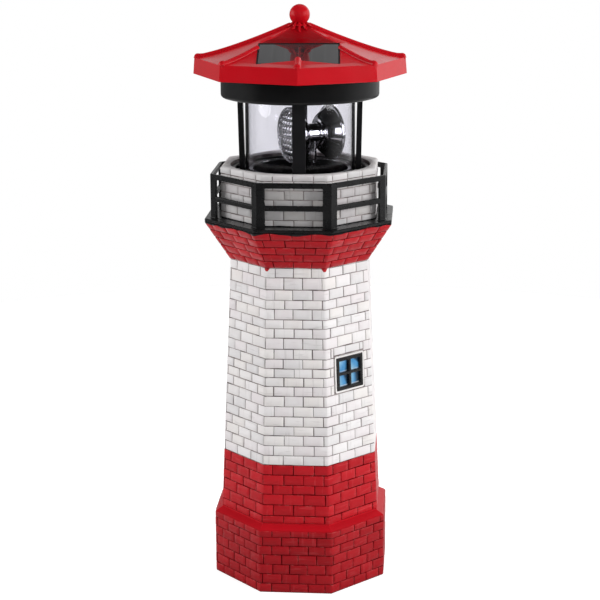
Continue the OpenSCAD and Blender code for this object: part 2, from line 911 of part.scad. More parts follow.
// ---------- beacon ----------

module beacon_hub() {
    room_z = led_base - 1.5;
    color("silver")
        difference() {
            union() {
                spindle_place() {
                    disc(spindle_r, low_gear_z, beacon_z);
                    disc(spindle_r + 0.9, beacon_z - neck_r - 2.2, beacon_z);
                }
                reflector_place(1) {
                    disc(neck_r, -neck_half, neck_half);
                    disc(barrel_r, -barrel_half, barrel_half);
                }
            }
            reflector_place(1) disc(barrel_bore, -barrel_half - 1, barrel_half + 1);
            spindle_place() {
                disc(stem_r + running_play, low_gear_z - 1, beacon_z);
                disc(led_room, room_z, beacon_z);
            }
        }
}

module reflector() {
    bowl = [for (i = [0 : bowl_steps])
        let (x = neck_half + (mouth_x - neck_half) * pow(i / bowl_steps, 1.6))
            [bowl_r(x), x]];
    // the inside wall starts at the barrel and keeps the wall's thickness
    inner = [for (i = [bowl_steps : -1 : 1])
        let (p = bowl[i]) [max(barrel_r + 0.1, p[0] - reflector_t), max(p[1], barrel_half - 0.6)]];
    rotate_extrude()
        polygon(concat(
            [[barrel_r + 0.1, neck_half], [bowl[0][0], neck_half]],
            [for (i = [1 : bowl_steps - 1]) bowl[i]],
            [[mouth_r, mouth_x - rim_t], [mouth_r + rim_w, mouth_x - rim_t],
             [mouth_r + rim_w, mouth_x]],
            [for (p = inner) if (p[1] > barrel_half) p],
            [[barrel_r + 0.1, barrel_half]]
        ));
}

module reflector_left() {
    color("silver") reflector_place(1) reflector();
}

module reflector_right() {
    color("silver") reflector_place(-1) reflector();
}

// a clear disc with a low crown, seated on the reflector's rim
module lens() {
    rim_r = mouth_r + rim_w;
    sphere_r = (rim_r * rim_r + lens_crown * lens_crown) / (2 * lens_crown);
    arc = asin(rim_r / sphere_r);
    steps = 8;
    crown = [for (i = [0 : steps])
        let (a = arc * (1 - i / steps))
            [sphere_r * sin(a), mouth_x + lens_t + lens_crown - sphere_r * (1 - cos(a))]];
    rotate_extrude()
        polygon(concat([[0, mouth_x], [rim_r, mouth_x]], crown));
}

module lens_left() {
    color("lightcyan", 0.5) reflector_place(1) lens();
}

module lens_right() {
    color("lightcyan", 0.5) reflector_place(-1) lens();
}

module led_stem() {
    color("gainsboro")
        spindle_place()
            ring(stem_r, stem_r * 0.55, gear_plate_top - gear_plate_t, led_base);
}

module led_lamp() {
    color("lightyellow")
        spindle_place() {
            disc(led_r, led_base, led_base + led_len - led_r);
            translate([0, 0, led_base + led_len - led_r]) sphere(led_r);
        }
}

// ---------- lower housing ----------

module lower_housing() {
    plate_low = gear_plate_top - gear_plate_t;
    foot_bevel = 1.2;
    color("black")
        lantern_place()
            difference() {
                union() {
                    difference() {
                        rotate_extrude()
                            polygon([
                                [0, cup_z], [cup_r - foot_bevel, cup_z], [cup_r, cup_z + foot_bevel],
                                [cup_r, ledge_z], [0, ledge_z]
                            ]);
                        disc(cup_in, plate_low, ledge_z + 1);
                        disc(cup_in - cup_step, cup_floor, ledge_z);
                    }
                    // bosses for the frame's screws, grown onto the wall
                    intersection() {
                        corners(4, 45) translate([frame_screw_r, 0, 0]) disc(boss_r, gear_plate_top + 1.2, ledge_z);
                        disc(cup_in + 0.5, gear_plate_top, ledge_z);
                    }
                    // ribs that back the cell's contacts
                    for (side = [-1, 1])
                        translate([side * (cell_l / 2 + contact_t + 1.2) - 0.7,
                                   -cell_y - contact_w / 2, cup_floor - overlap])
                            cube([1.4, contact_w, 2 * cell_r]);
                    // posts under the circuit board
                    for (side = [-1, 1])
                        translate([side * (board_l / 2 - 3), board_y, 0]) disc(1.8, cup_floor - overlap, board_z);
                }
                // mouth of the cell's bay and the rebate for its door
                translate([-cell_l / 2 - 0.3, -cell_y - cell_r - 0.2, cup_z - 1])
                    cube([cell_l + 0.6, 2 * cell_r + 0.4, cup_t + 2]);
                translate([-door_l / 2 - gap, door_y - door_w / 2 - gap, cup_z - 1])
                    cube([door_l + 2 * gap, door_w + 2 * gap, 1 + cup_t / 2]);
                translate([door_screw_x, door_y, 0]) disc(screw_r + 0.05, cup_z, cup_floor + door_screw_l);
                // slot that the cell's two contacts stand in
                translate([-cell_l / 2 - contact_t - gap, -cell_y - contact_w / 2, cup_floor + overlap])
                    cube([cell_l + 2 * (contact_t + gap), contact_w, 2 * cell_r]);
                translate([-switch_travel / 2 - knob_l / 2 - gap, board_y - knob_w / 2 - gap, cup_z - 1])
                    cube([switch_travel + knob_l + 2 * gap, knob_w + 2 * gap, cup_t + 2]);
                corners(4, 45)
                    translate([frame_screw_r, 0, 0])
                        disc(screw_r + 0.05, plate_top - screw_head_h - frame_screw_l - 1.1, ledge_z + 1);
            }
}

module battery_door() {
    grip_w = 10;
    color("black")
        lantern_place()
            difference() {
                translate([-door_l / 2, door_y - door_w / 2, cup_z]) cube([door_l, door_w, cup_t / 2]);
                translate([door_screw_x, door_y, 0]) disc(screw_r + 0.1, cup_z - 1, cup_floor);
                for (i = [-1 : 1])
                    translate([-grip_w / 2, door_y + i * 2.4 - 0.5, cup_z - 1]) cube([grip_w, 1, 1.4]);
            }
}

module door_screw() {
    color("silver")
        lantern_place()
            translate([door_screw_x, door_y, cup_z])
                rotate([180, 0, 0])
                    screw(length = door_screw_l);
}

module battery_cell() {
    nub = 1;
    color("seagreen")
        lantern_place()
            translate([-cell_l / 2, -cell_y, cell_z])
                rotate([0, 90, 0])
                    rotate_extrude()
                        polygon([
                            [0, 0], [cell_r - 0.5, 0], [cell_r, 0.5], [cell_r, cell_l - nub - 0.5],
                            [cell_r - 0.5, cell_l - nub], [2.7, cell_l - nub], [2.7, cell_l], [0, cell_l]
                        ]);
}

module battery_contacts() {
    color("silver")
        lantern_place()
            for (side = [-1, 1])
                translate([side * (cell_l / 2 + contact_t / 2) - contact_t / 2, -cell_y - contact_w / 2 + 0.5,
                           cup_floor])
                    cube([contact_t, contact_w - 1, 2 * cell_r - 1]);
}

module control_board() {
    color("darkgreen")
        lantern_place() {
            translate([-board_l / 2, board_y - board_w / 2, board_z]) cube([board_l, board_w, board_t]);
            // coil, capacitor and driver
            top = board_z + board_t;
            translate([coil_pos[0], board_y + coil_pos[1], 0]) disc(coil[0], top - overlap, top + coil[1]);
            translate([capacitor_pos[0], board_y + capacitor_pos[1], 0])
                disc(capacitor[0], top - overlap, top + capacitor[1]);
            translate([chip_pos[0], board_y + chip_pos[1], top - overlap]) cube(chip);
        }
}

module switch_case() {
    color("silver")
        lantern_place()
            difference() {
                translate([-switch_l / 2, board_y - switch_w / 2, cup_floor])
                    cube([switch_l, switch_w, board_z - cup_floor]);
                translate([-switch_travel / 2 - knob_l / 2 - gap, board_y - knob_w / 2 - gap, cup_floor - 1])
                    cube([switch_travel + knob_l + 2 * gap, knob_w + 2 * gap, 2.6]);
            }
}

module switch_slider() {
    color("black")
        lantern_place()
            translate([-switch_travel / 2 - knob_l / 2, board_y - knob_w / 2, cup_z - 0.8])
                cube([knob_l, knob_w, cup_t + 2.2]);
}

tower_shell();
base_cover();
gallery_railing();
window_frame();
window_panes();
lantern_frame();
lens_tube();
tube_seal();
deck_plate();
ring_housing();
roof_cap();
finial();
solar_panel();
panel_gasket();
roof_screws();
frame_screws();
lower_housing();
gear_plate();
motor();
motor_pinion();
idler_pin();
idler_gear();
beacon_gear();
beacon_hub();
reflector_left();
reflector_right();
lens_left();
lens_right();
led_stem();
led_lamp();
battery_cell();
battery_contacts();
battery_door();
door_screw();
control_board();
switch_case();
switch_slider();
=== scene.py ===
import math
import bmesh
import bpy
import numpy as np
from mathutils import Matrix, Vector


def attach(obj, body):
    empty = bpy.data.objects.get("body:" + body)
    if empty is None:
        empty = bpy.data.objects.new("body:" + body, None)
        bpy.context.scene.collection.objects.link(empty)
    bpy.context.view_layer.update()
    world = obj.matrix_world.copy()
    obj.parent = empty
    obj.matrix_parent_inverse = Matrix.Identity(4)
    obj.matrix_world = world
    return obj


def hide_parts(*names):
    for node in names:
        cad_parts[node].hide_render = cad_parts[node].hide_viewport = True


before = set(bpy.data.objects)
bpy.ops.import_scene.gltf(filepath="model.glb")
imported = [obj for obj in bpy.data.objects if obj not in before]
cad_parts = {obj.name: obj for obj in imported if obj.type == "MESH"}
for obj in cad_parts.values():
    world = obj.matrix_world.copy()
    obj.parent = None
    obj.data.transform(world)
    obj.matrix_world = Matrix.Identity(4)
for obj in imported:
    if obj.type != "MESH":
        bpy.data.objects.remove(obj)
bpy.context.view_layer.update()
print("frame loaded:", len(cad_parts), "nodes")

mm = 0.001
rng = np.random.default_rng(11)

# the photograph's view, fitted to the edges of the octagon
cameraView = {
    "focal": 1577.2,         # in pixels of a 600 x 600 image
    "distance": 0.9655,      # from the tower's axis, level
    "height": 0.4236,
    "azimuth": 4.35,         # degrees to the right of the front face
    "pitch": 14.37,
    "roll": -0.262,
    "centre": (300.96, 299.06),
}


def makeCamera(c):
    data = bpy.data.cameras.new("camera")
    data.sensor_width = 36
    data.lens = 36 * c["focal"] / 600
    data.shift_x = (300 - c["centre"][0]) / 600
    data.shift_y = (c["centre"][1] - 300) / 600
    data.clip_start, data.clip_end = 0.05, 20
    camera = bpy.data.objects.new("camera", data)
    bpy.context.scene.collection.objects.link(camera)
    turn = math.radians(c["azimuth"])
    place = Vector((c["distance"] * math.sin(turn), -c["distance"] * math.cos(turn), c["height"]))
    camera.matrix_world = (Matrix.Translation(place) @ Matrix.Rotation(turn, 4, "Z")
                           @ Matrix.Rotation(math.radians(90 - c["pitch"]), 4, "X")
                           @ Matrix.Rotation(math.radians(c["roll"]), 4, "Z"))
    bpy.context.scene.camera = camera


makeCamera(cameraView)


# short ways to write nodes

def put(tree, kind, props=None, **sockets):
    # one node; i0, i1 ... name sockets by number, the others by name with _ for a space; colours are
    # given as red, green, blue
    node = tree.nodes.new("ShaderNode" + kind)
    for key, value in (props or {}).items():
        setattr(node, key, value)
    for key, value in sockets.items():
        byNumber = key[0] == "i" and key[1:].isdigit()
        socket = node.inputs[int(key[1:])] if byNumber else node.inputs[key.replace("_", " ")]
        if isinstance(value, bpy.types.NodeSocket):
            tree.links.new(value, socket)
        else:
            socket.default_value = (*value, 1) if socket.type == "RGBA" else value
    return node


def calc(tree, operation, a, b=0.0, c=0.0):
    return put(tree, "Math", {"operation": operation}, i0=a, i1=b, i2=c).outputs[0]


def times(tree, a, b):
    return calc(tree, "MULTIPLY", a, b)


def scaled(tree, value, by, plus):
    return calc(tree, "MULTIPLY_ADD", value, by, plus)


def spread(tree, value, low, high, toLow=0.0, toHigh=1.0):
    return put(tree, "MapRange", {"interpolation_type": "SMOOTHSTEP"}, Value=value, From_Min=low,
               From_Max=high, To_Min=toLow, To_Max=toHigh).outputs["Result"]


def tint(tree, factor, a, b, blend="MIX"):
    node = put(tree, "Mix", {"data_type": "RGBA", "blend_type": blend}, Factor=factor, A=a, B=b)
    return node.outputs["Result"]


def noise(tree, place, scale, detail=3.0, rough=0.55, stretch=None):
    if stretch:
        place = put(tree, "Mapping", Vector=place, Scale=stretch).outputs[0]
    return put(tree, "TexNoise", Vector=place, Scale=scale, Detail=detail, Roughness=rough).outputs[0]


def bump(tree, height, strength, distance, normal=None):
    node = put(tree, "Bump", Height=height, Strength=strength, Distance=distance)
    if normal:
        tree.links.new(normal, node.inputs["Normal"])
    return node.outputs[0]


def attribute(tree, name):
    return put(tree, "Attribute", {"attribute_name": name}).outputs["Fac"]


def axis(tree, vector, name):
    return put(tree, "SeparateXYZ", Vector=vector).outputs[name]


def turnedBy(tree, place, degrees):
    # the place in a frame turned about Z
    return put(tree, "Mapping", {"vector_type": "TEXTURE"}, Vector=place,
               Rotation=(0, 0, math.radians(degrees))).outputs[0]


def newMaterial(name, **constants):
    # constants are set on the shader's own sockets
    material = bpy.data.materials.new(name)
    material.use_nodes = True
    tree = material.node_tree
    for key, value in constants.items():
        tree.nodes["Principled BSDF"].inputs[key.replace("_", " ")].default_value = value
    return material, tree, put(tree, "TexCoord").outputs["Object"]


def wired(material, colour, rough, normal):
    # the three sockets that every material here drives
    shader = material.node_tree.nodes["Principled BSDF"]
    for socket, value in (("Base Color", colour), ("Roughness", rough), ("Normal", normal)):
        material.node_tree.links.new(value, shader.inputs[socket])
    return material


def newGroup(name, inputs, outputs):
    tree = bpy.data.node_groups.new(name, "ShaderNodeTree")
    for label, kind, value in inputs:
        socket = tree.interface.new_socket(label, in_out="INPUT", socket_type="NodeSocket" + kind)
        if value is not None:
            socket.default_value = value
    for label, kind in outputs:
        tree.interface.new_socket(label, in_out="OUTPUT", socket_type="NodeSocket" + kind)
    return tree, tree.nodes.new("NodeGroupInput").outputs, tree.nodes.new("NodeGroupOutput").inputs


def grouped(tree, group, **sockets):
    return put(tree, "Group", {"node_tree": group}, **sockets).outputs


# soft light; paint sees little of the room, gloss sees it white behind and dim in front, above and left
studio = {
    "white": 1.0,
    "ambient": 0.33,
    "frontDim": 0.04,
    "skyDim": 0.08,
    "leftDim": 0.25,
    "lowDim": 0.12,
    "lamps": [
        # name, place, size, watts, seen in gloss
        ("lampRight", (1.5, -0.55, 0.6), 1.1, 24.0, False),
        ("lampLeft", (-1.5, -0.35, 0.55), 1.0, 17.0, False),
        ("lampTop", (0.25, 1.0, 1.7), 1.2, 13.0, False),
        ("lampFront", (0.25, -2.2, 0.7), 0.9, 5.5, False),
        ("glintRight", (1.4, -0.35, 0.80), 0.15, 0.22, True),
    ],
    "floorPaint": 0.45,
    "floorGlow": 0.80,
    "floorRadius": 0.75,
}


def makeStudio(s):
    scene = bpy.context.scene
    scene.view_settings.view_transform = "Standard"
    world = bpy.data.worlds.new("studio")
    scene.world = world
    world.use_nodes = True
    tree = world.node_tree
    tree.nodes.clear()
    ray = put(tree, "LightPath").outputs
    straight = calc(tree, "MAXIMUM", ray["Is Camera Ray"], ray["Is Transmission Ray"])
    either = calc(tree, "MAXIMUM", straight, ray["Is Glossy Ray"])
    # a reflection that comes on through glass still shows the room
    mirrored = calc(tree, "GREATER_THAN", ray["Glossy Depth"], 0.5)
    straight = times(tree, straight, calc(tree, "SUBTRACT", 1.0, mirrored))
    # the room that gloss sees: direction from the world's own coordinates
    way = put(tree, "TexCoord").outputs["Generated"]
    toward = put(tree, "VectorMath", {"operation": "DOT_PRODUCT"}, i0=way, i1=(0.0, -0.99, 0.1))
    front = spread(tree, toward.outputs["Value"], -0.1, 0.55, 1.0, s["frontDim"])
    aside, _, level = put(tree, "SeparateXYZ", Vector=way).outputs
    room = times(tree, front, spread(tree, level, 0.25, 0.62, 1.0, s["skyDim"]))
    room = times(tree, room, spread(tree, level, -0.35, 0.1, s["lowDim"], 1.0))
    room = times(tree, room, spread(tree, aside, -0.45, 0.25, s["leftDim"], 1.0))
    # a bright strip far left, for the streaks in the chrome
    strip = times(tree, spread(tree, level, -0.1, 0.0), spread(tree, level, 0.45, 0.55, 1.0, 0.0))
    strip = times(tree, strip, spread(tree, aside, -0.90, -0.87, 1.0, 0.0))
    room = calc(tree, "MAXIMUM", room, strip)
    seen = tint(tree, straight, room, (1, 1, 1))
    seen = put(tree, "Background", Color=seen, Strength=s["white"])
    lit = put(tree, "Background", Color=(1, 1, 1), Strength=s["ambient"])
    mix = put(tree, "MixShader", i0=either, i1=lit.outputs[0], i2=seen.outputs[0])
    put(tree, "OutputWorld", Surface=mix.outputs[0])
    for name, place, size, watts, inGloss in s["lamps"]:
        data = bpy.data.lights.new(name, "AREA")
        data.shape = "SQUARE"
        data.size = size
        data.energy = watts
        lamp = bpy.data.objects.new(name, data)
        scene.collection.objects.link(lamp)
        lamp.visible_glossy = inGloss
        lamp.location = place
        lamp.rotation_mode = "QUATERNION"
        lamp.rotation_quaternion = (Vector((0, 0, 0.2)) - Vector(place)).to_track_quat("-Z", "Y")
    # floor: pale paint, with a glow that only straight and mirrored rays see, so that it turns white
    material, tree, place = newMaterial("paleFloor", Roughness=0.9, Specular_IOR_Level=0.0)
    shader = tree.nodes["Principled BSDF"]
    grain = noise(tree, place, 40.0)
    tone = scaled(tree, grain, 0.04, s["floorPaint"])
    tree.links.new(tone, shader.inputs["Base Color"])
    ray = put(tree, "LightPath").outputs
    direct = calc(tree, "MAXIMUM", ray["Is Camera Ray"], ray["Is Transmission Ray"])
    direct = times(tree, direct, calc(tree, "LESS_THAN", ray["Glossy Depth"], 0.5))
    behind = spread(tree, axis(tree, place, "Y"), -0.1, 0.5)
    direct = calc(tree, "MAXIMUM", direct, times(tree, ray["Is Glossy Ray"], behind))
    glow = put(tree, "Emission", Color=(1, 1, 1), Strength=times(tree, direct, s["floorGlow"]))
    both = put(tree, "AddShader", i0=shader.outputs[0], i1=glow.outputs[0])
    tree.links.new(both.outputs[0], tree.nodes["Material Output"].inputs["Surface"])
    mesh = bpy.data.meshes.new("floor")
    low, sides = -0.0002, 64          # just under the foot
    around = np.linspace(0, 2 * np.pi, sides, endpoint=False)
    rim = np.stack([np.cos(around), np.sin(around)], -1) * s["floorRadius"]
    mesh.from_pydata([(x, y, low) for x, y in rim.tolist()], [], [tuple(range(sides))])
    mesh.materials.append(material)
    floor = bpy.data.objects.new("floor", mesh)
    scene.collection.objects.link(floor)


makeStudio(studio)
print("camera and studio made")

# effects shared by several materials

def makeGrain():
    # fine casting grain: a mask of soft blotches, and a height for bumps
    tree, given, result = newGroup("surfaceGrain", [("Vector", "Vector", None), ("Scale", "Float", 300.0)],
                                   [("Mask", "Float"), ("Height", "Float")])
    broad = noise(tree, given["Vector"], given["Scale"], 4.0, 0.5)
    fine = noise(tree, given["Vector"], times(tree, given["Scale"], 4.3), 2.0, 0.5)
    tree.links.new(spread(tree, broad, 0.35, 0.65), result["Mask"])
    tree.links.new(scaled(tree, fine, 0.4, broad), result["Height"])
    return tree


def makeScratches():
    # thin brush and mould lines: noise drawn out along one direction, thresholded to hairs
    tree, given, result = newGroup("scratches", [("Vector", "Vector", None), ("Scale", "Float", 500.0)],
                                   [("Mask", "Float")])
    hairs = [spread(tree, noise(tree, given["Vector"], given["Scale"], 2.0, 0.5, stretch), 0.62, 0.72)
             for stretch in ((1.0, 1.0, 0.07), (0.12, 0.12, 1.0))]
    tree.links.new(calc(tree, "MAXIMUM", *hairs), result["Mask"])
    return tree


def makePaintZones(z):
    # red where the height is under the plinth's paint line or between the upper lines, with a wavy
    # brush line; black where the gallery's paint runs a little over the flare
    tree, given, result = newGroup("paintZones", [("Vector", "Vector", None)],
                                   [("Red", "Float"), ("Black", "Float")])
    place = given["Vector"]
    x, y, height = put(tree, "SeparateXYZ", Vector=place).outputs
    slow = noise(tree, place, 42.0, 2.0)
    quick = noise(tree, place, 260.0, 2.0)
    wave = scaled(tree, slow, z["wave"] * mm, height)
    wave = scaled(tree, quick, z["ripple"] * mm, wave)
    middle = 0.5 * (z["wave"] + z["ripple"])
    def above(limit, *ends):
        return spread(tree, wave, (limit + middle - 0.12) * mm, (limit + middle + 0.12) * mm, *ends)
    # a drip at each front corner: the line falls with the distance from the corner
    corner = put(tree, "CombineXYZ", X=calc(tree, "ABSOLUTE", x), Y=y).outputs[0]
    away = put(tree, "VectorMath", {"operation": "DISTANCE"}, i0=corner,
               i1=tuple(v * mm for v in z["dripCorner"])).outputs["Value"]
    drip = spread(tree, away, 0.5 * mm, z["dripWide"] * mm, z["drip"] * mm, 0.0)
    foot = above(z["foot"], 1.0, 0.0)
    wave = calc(tree, "ADD", wave, drip)
    head = times(tree, above(z["head"]), above(z["gallery"], 1.0, 0.0))
    tree.links.new(calc(tree, "MAXIMUM", foot, head), result["Red"])
    loose = scaled(tree, noise(tree, place, 75.0, 1.0), z["run"] * mm, height)
    limit = z["black"] + 0.5 * z["run"]
    black = spread(tree, loose, (limit - 0.1) * mm, (limit + 0.1) * mm)
    black = times(tree, black, above(z["parapet"], 1.0, 0.0))
    tree.links.new(black, result["Black"])
    return tree


paintLines = {
    # heights in mm
    "foot": 82.3, "head": 206.3, "gallery": 231.6, "black": 229.5, "parapet": 233.0,
    "wave": 1.3, "ripple": 0.5, "run": 5.0,
    "drip": 2.2, "dripWide": 2.6, "dripCorner": (17.6, -42.2, 0),
}
surfaceGrain = makeGrain()
scratches = makeScratches()
paintZones = makePaintZones(paintLines)


# materials

finish = {
    "white": [(0.78, 0.735, 0.745), (0.73, 0.71, 0.715), (0.80, 0.765, 0.75), (0.81, 0.785, 0.79)],
    "red": [(0.46, 0.006, 0.013), (0.42, 0.005, 0.011), (0.49, 0.008, 0.015)],
    "jointLight": (0.34, 0.30, 0.295),
    "jointRed": (0.155, 0.0018, 0.004),
    # painted shade: how much colour the plinth, the parapet wall and the coping keep
    "footShade": 0.76, "parapetShade": 0.66, "copingShade": 0.86,
    "paintBlack": (0.010, 0.010, 0.011), "stepZ": 42.9,
}


def brickPaint():
    material, tree, place = newMaterial("paintedBricks", Specular_IOR_Level=0.3)
    zones = grouped(tree, paintZones, Vector=place)
    tone = attribute(tree, "tone")
    edge = attribute(tree, "edge")
    grain = grouped(tree, surfaceGrain, Vector=place, Scale=260.0)
    lines = grouped(tree, scratches, Vector=place, Scale=520.0)["Mask"]
    a, b, c, d = finish["white"]
    white = tint(tree, spread(tree, tone, 0.2, 0.35), a, b)
    white = tint(tree, spread(tree, tone, 0.5, 0.6), white, c)
    white = tint(tree, spread(tree, tone, 0.75, 0.9), white, d)
    soft = noise(tree, place, 95.0, 2.0)
    white = tint(tree, spread(tree, soft, 0.35, 0.7, 0.0, 0.35), white, (0.86, 0.85, 0.85))
    white = tint(tree, times(tree, lines, 0.25), white, (0.45, 0.42, 0.42))
    a, b, c = finish["red"]
    red = tint(tree, spread(tree, tone, 0.2, 0.45), a, b)
    red = tint(tree, spread(tree, tone, 0.6, 0.8), red, c)
    red = tint(tree, times(tree, lines, 0.16), red, (0.72, 0.12, 0.13))
    # a paler line along the arris of a brick, in patches: painted highlight where the edge catches light, and
    # paint worn thin there
    arrisWearAndSheen = times(tree, spread(tree, edge, 0.35, 0.6), spread(tree, edge, 0.62, 0.95, 1.0, 0.0))
    arrisWearAndSheenPatches = times(tree, arrisWearAndSheen, spread(tree, noise(tree, place, 330.0), 0.5, 0.68))
    red = tint(tree, times(tree, arrisWearAndSheenPatches, 0.5), red, (0.80, 0.26, 0.24))
    colour = tint(tree, zones["Red"], white, red)
    # painted shade: the plinth drawn darker, and the parapet wall and the coping drawn darker under the roof
    # and behind the railing
    height = axis(tree, place, "Z")
    deep = spread(tree, height, 39 * mm, 43 * mm, finish["footShade"], 1.0)
    underRoofShade = spread(tree, height, 253 * mm, 256 * mm, finish["parapetShade"], finish["copingShade"])
    underRoofShade = calc(tree, "MAXIMUM", underRoofShade, spread(tree, height, 230 * mm, 232 * mm, 1.0, 0.0))
    colour = tint(tree, 1.0, colour, times(tree, deep, underRoofShade), "MULTIPLY")
    # the joint's dark wash climbs the foot of each brick
    joint = tint(tree, zones["Red"], finish["jointLight"], finish["jointRed"])
    patchy = spread(tree, noise(tree, place, 130.0, 2.0), 0.32, 0.55, 0.35, 1.0)
    foot = times(tree, spread(tree, edge, 0.0, 0.3, 1.0, 0.0), patchy)
    colour = tint(tree, foot, colour, joint)
    colour = tint(tree, zones["Black"], colour, finish["paintBlack"])
    gloss = scaled(tree, zones["Red"], -0.19, 0.52)
    height = scaled(tree, lines, -0.6, grain["Height"])
    return wired(material, colour, scaled(tree, grain["Mask"], 0.10, gloss),
                 bump(tree, height, 0.35, 0.00012))


def jointPaint():
    # the casting under the bricks: dark joints, and plain paint where it faces up or down
    material, tree, place = newMaterial("paintedJoints", Specular_IOR_Level=0.12)
    zones = grouped(tree, paintZones, Vector=place)
    grain = grouped(tree, surfaceGrain, Vector=place, Scale=420.0)
    plain = spread(tree, axis(tree, put(tree, "NewGeometry").outputs["Normal"], "Z"), 0.6, 0.75)
    # and where the shaft stands on the plinth
    step = calc(tree, "ABSOLUTE", calc(tree, "SUBTRACT", axis(tree, place, "Z"), finish["stepZ"] * mm))
    plain = calc(tree, "MAXIMUM", plain, spread(tree, step, 1.5 * mm, 1.9 * mm, 1.0, 0.0))
    joint = tint(tree, zones["Red"], finish["jointLight"], finish["jointRed"])
    dark = spread(tree, noise(tree, place, 120.0, 3.0), 0.42, 0.62, 0.0, 0.75)
    wash = tint(tree, zones["Red"], (0.08, 0.062, 0.060), (0.055, 0.0008, 0.0015))
    joint = tint(tree, dark, joint, wash)
    paint = tint(tree, zones["Red"], finish["white"][3], finish["red"][0])
    colour = tint(tree, plain, joint, paint)
    colour = tint(tree, zones["Black"], colour, finish["paintBlack"])
    rough = scaled(tree, plain, -0.47, 0.75)
    return wired(material, colour, scaled(tree, grain["Mask"], 0.06, rough),
                 bump(tree, grain["Height"], 0.3, 0.0001))


def mouldedPlastic(name, colour, deep, rough, grainScale=320.0, strength=0.12, **constants):
    # moulded or sprayed plastic: two near tones in soft clouds and faint orange peel
    material, tree, place = newMaterial(name, **constants)
    grain = grouped(tree, surfaceGrain, Vector=place, Scale=grainScale)
    cloud = spread(tree, noise(tree, place, 55.0, 2.0), 0.35, 0.7)
    return wired(material, tint(tree, cloud, colour, deep),
                 scaled(tree, grain["Mask"], 0.05, rough),
                 bump(tree, grain["Height"], strength, 0.0001))


def roofPaint(c):
    # glossy red with painted shade in the scoop, darker towards the panel: in plan, a wedge from the finial
    # to the panel
    material, tree, place = newMaterial("roofPaint")
    x, y, _ = put(tree, "SeparateXYZ", Vector=turnedBy(tree, place, c["turn"])).outputs
    down = times(tree, y, -1.0)
    head, foot = c["head"] * mm, c["foot"] * mm
    reach = scaled(tree, calc(tree, "SUBTRACT", down, head), c["widen"], head)
    inside = spread(tree, calc(tree, "SUBTRACT", reach, calc(tree, "ABSOLUTE", x)), 0.0, 2.5 * mm)
    deep = spread(tree, down, head, foot)
    inside = times(tree, inside, spread(tree, down, foot, foot + 1.0 * mm, 1.0, 0.0))
    shade = times(tree, inside, scaled(tree, deep, 0.45, 0.5))
    cloud = spread(tree, noise(tree, place, 55.0, 2.0), 0.35, 0.7)
    red = tint(tree, cloud, c["red"], c["deep"])
    grain = grouped(tree, surfaceGrain, Vector=place, Scale=90.0)
    return wired(material, tint(tree, shade, red, c["shade"]),
                 scaled(tree, grain["Mask"], 0.05, 0.20), bump(tree, grain["Height"], 0.03, 0.0001))


def brightMetal(name, colour, deep, rough, stretch=None, strength=0.05):
    # plated or turned metal: tone and gloss drift slightly, with marks along the stretch direction
    material, tree, place = newMaterial(name, Metallic=1.0)
    marks = noise(tree, place, 240.0, 4.0, 0.6, stretch)
    return wired(material, tint(tree, spread(tree, marks, 0.35, 0.7), colour, deep),
                 scaled(tree, marks, 0.08, rough), bump(tree, marks, strength, 0.00005))


def clearPlastic(name, colour, deep, seamShade=None, **constants):
    # the seam colour is painted shade: a dark tone in the creases between the facets of a lens, where the
    # mesh has that mask
    material, tree, place = newMaterial(name, Transmission_Weight=1.0, IOR=1.45, **constants)
    flow = noise(tree, place, 60.0, 2.0, 0.5, (1.0, 1.0, 0.25))
    tone = tint(tree, spread(tree, flow, 0.3, 0.7), colour, deep)
    if seamShade:
        tone = tint(tree, attribute(tree, "seamShade"), tone, seamShade)
    return wired(material, tone, scaled(tree, flow, 0.02, 0.01), bump(tree, flow, 0.04, 0.0001))


def solarFace(c):
    # dark cell under clear resin, whose face lies a little flatter than the tray: thin silver lines
    # down the slope and a slow drift in the tone
    material, tree, place = newMaterial("solarCell")
    x = axis(tree, turnedBy(tree, place, c["turn"]), "X")
    drift = noise(tree, place, 90.0, 2.0, 0.5, (1.0, 0.15, 0.15))
    colour = tint(tree, spread(tree, drift, 0.4, 0.6), c["cell"], c["cellLight"])
    stripe = calc(tree, "PINGPONG", x, c["pitch"] * mm / 2)
    line = spread(tree, stripe, 0.10 * mm, 0.22 * mm, 1.0, 0.0)
    colour = tint(tree, times(tree, line, 0.5), colour, c["line"])
    flat = bump(tree, times(tree, axis(tree, place, "Y"), -c["flatter"]), 1.0, 1.0)
    return wired(material, colour, scaled(tree, drift, 0.03, 0.02),
                 bump(tree, drift, 0.03, 0.0001, flat))


def paneGlass():
    # blue panes with a dark side and pale rims; the masks are worked out on the mesh
    material, tree, place = newMaterial("bluePanes")
    blue = tint(tree, attribute(tree, "pale"), (0.06, 0.27, 0.55), (0.27, 0.53, 0.72))
    blue = tint(tree, attribute(tree, "shade"), blue, (0.010, 0.026, 0.045))
    blue = tint(tree, attribute(tree, "gleam"), blue, (0.80, 0.88, 0.95))
    soft = noise(tree, place, 700.0, 2.0)
    blue = tint(tree, spread(tree, soft, 0.35, 0.75, 0.0, 0.14), blue, (0.02, 0.08, 0.20))
    return wired(material, blue, scaled(tree, soft, 0.08, 0.10), bump(tree, soft, 0.06, 0.0001))


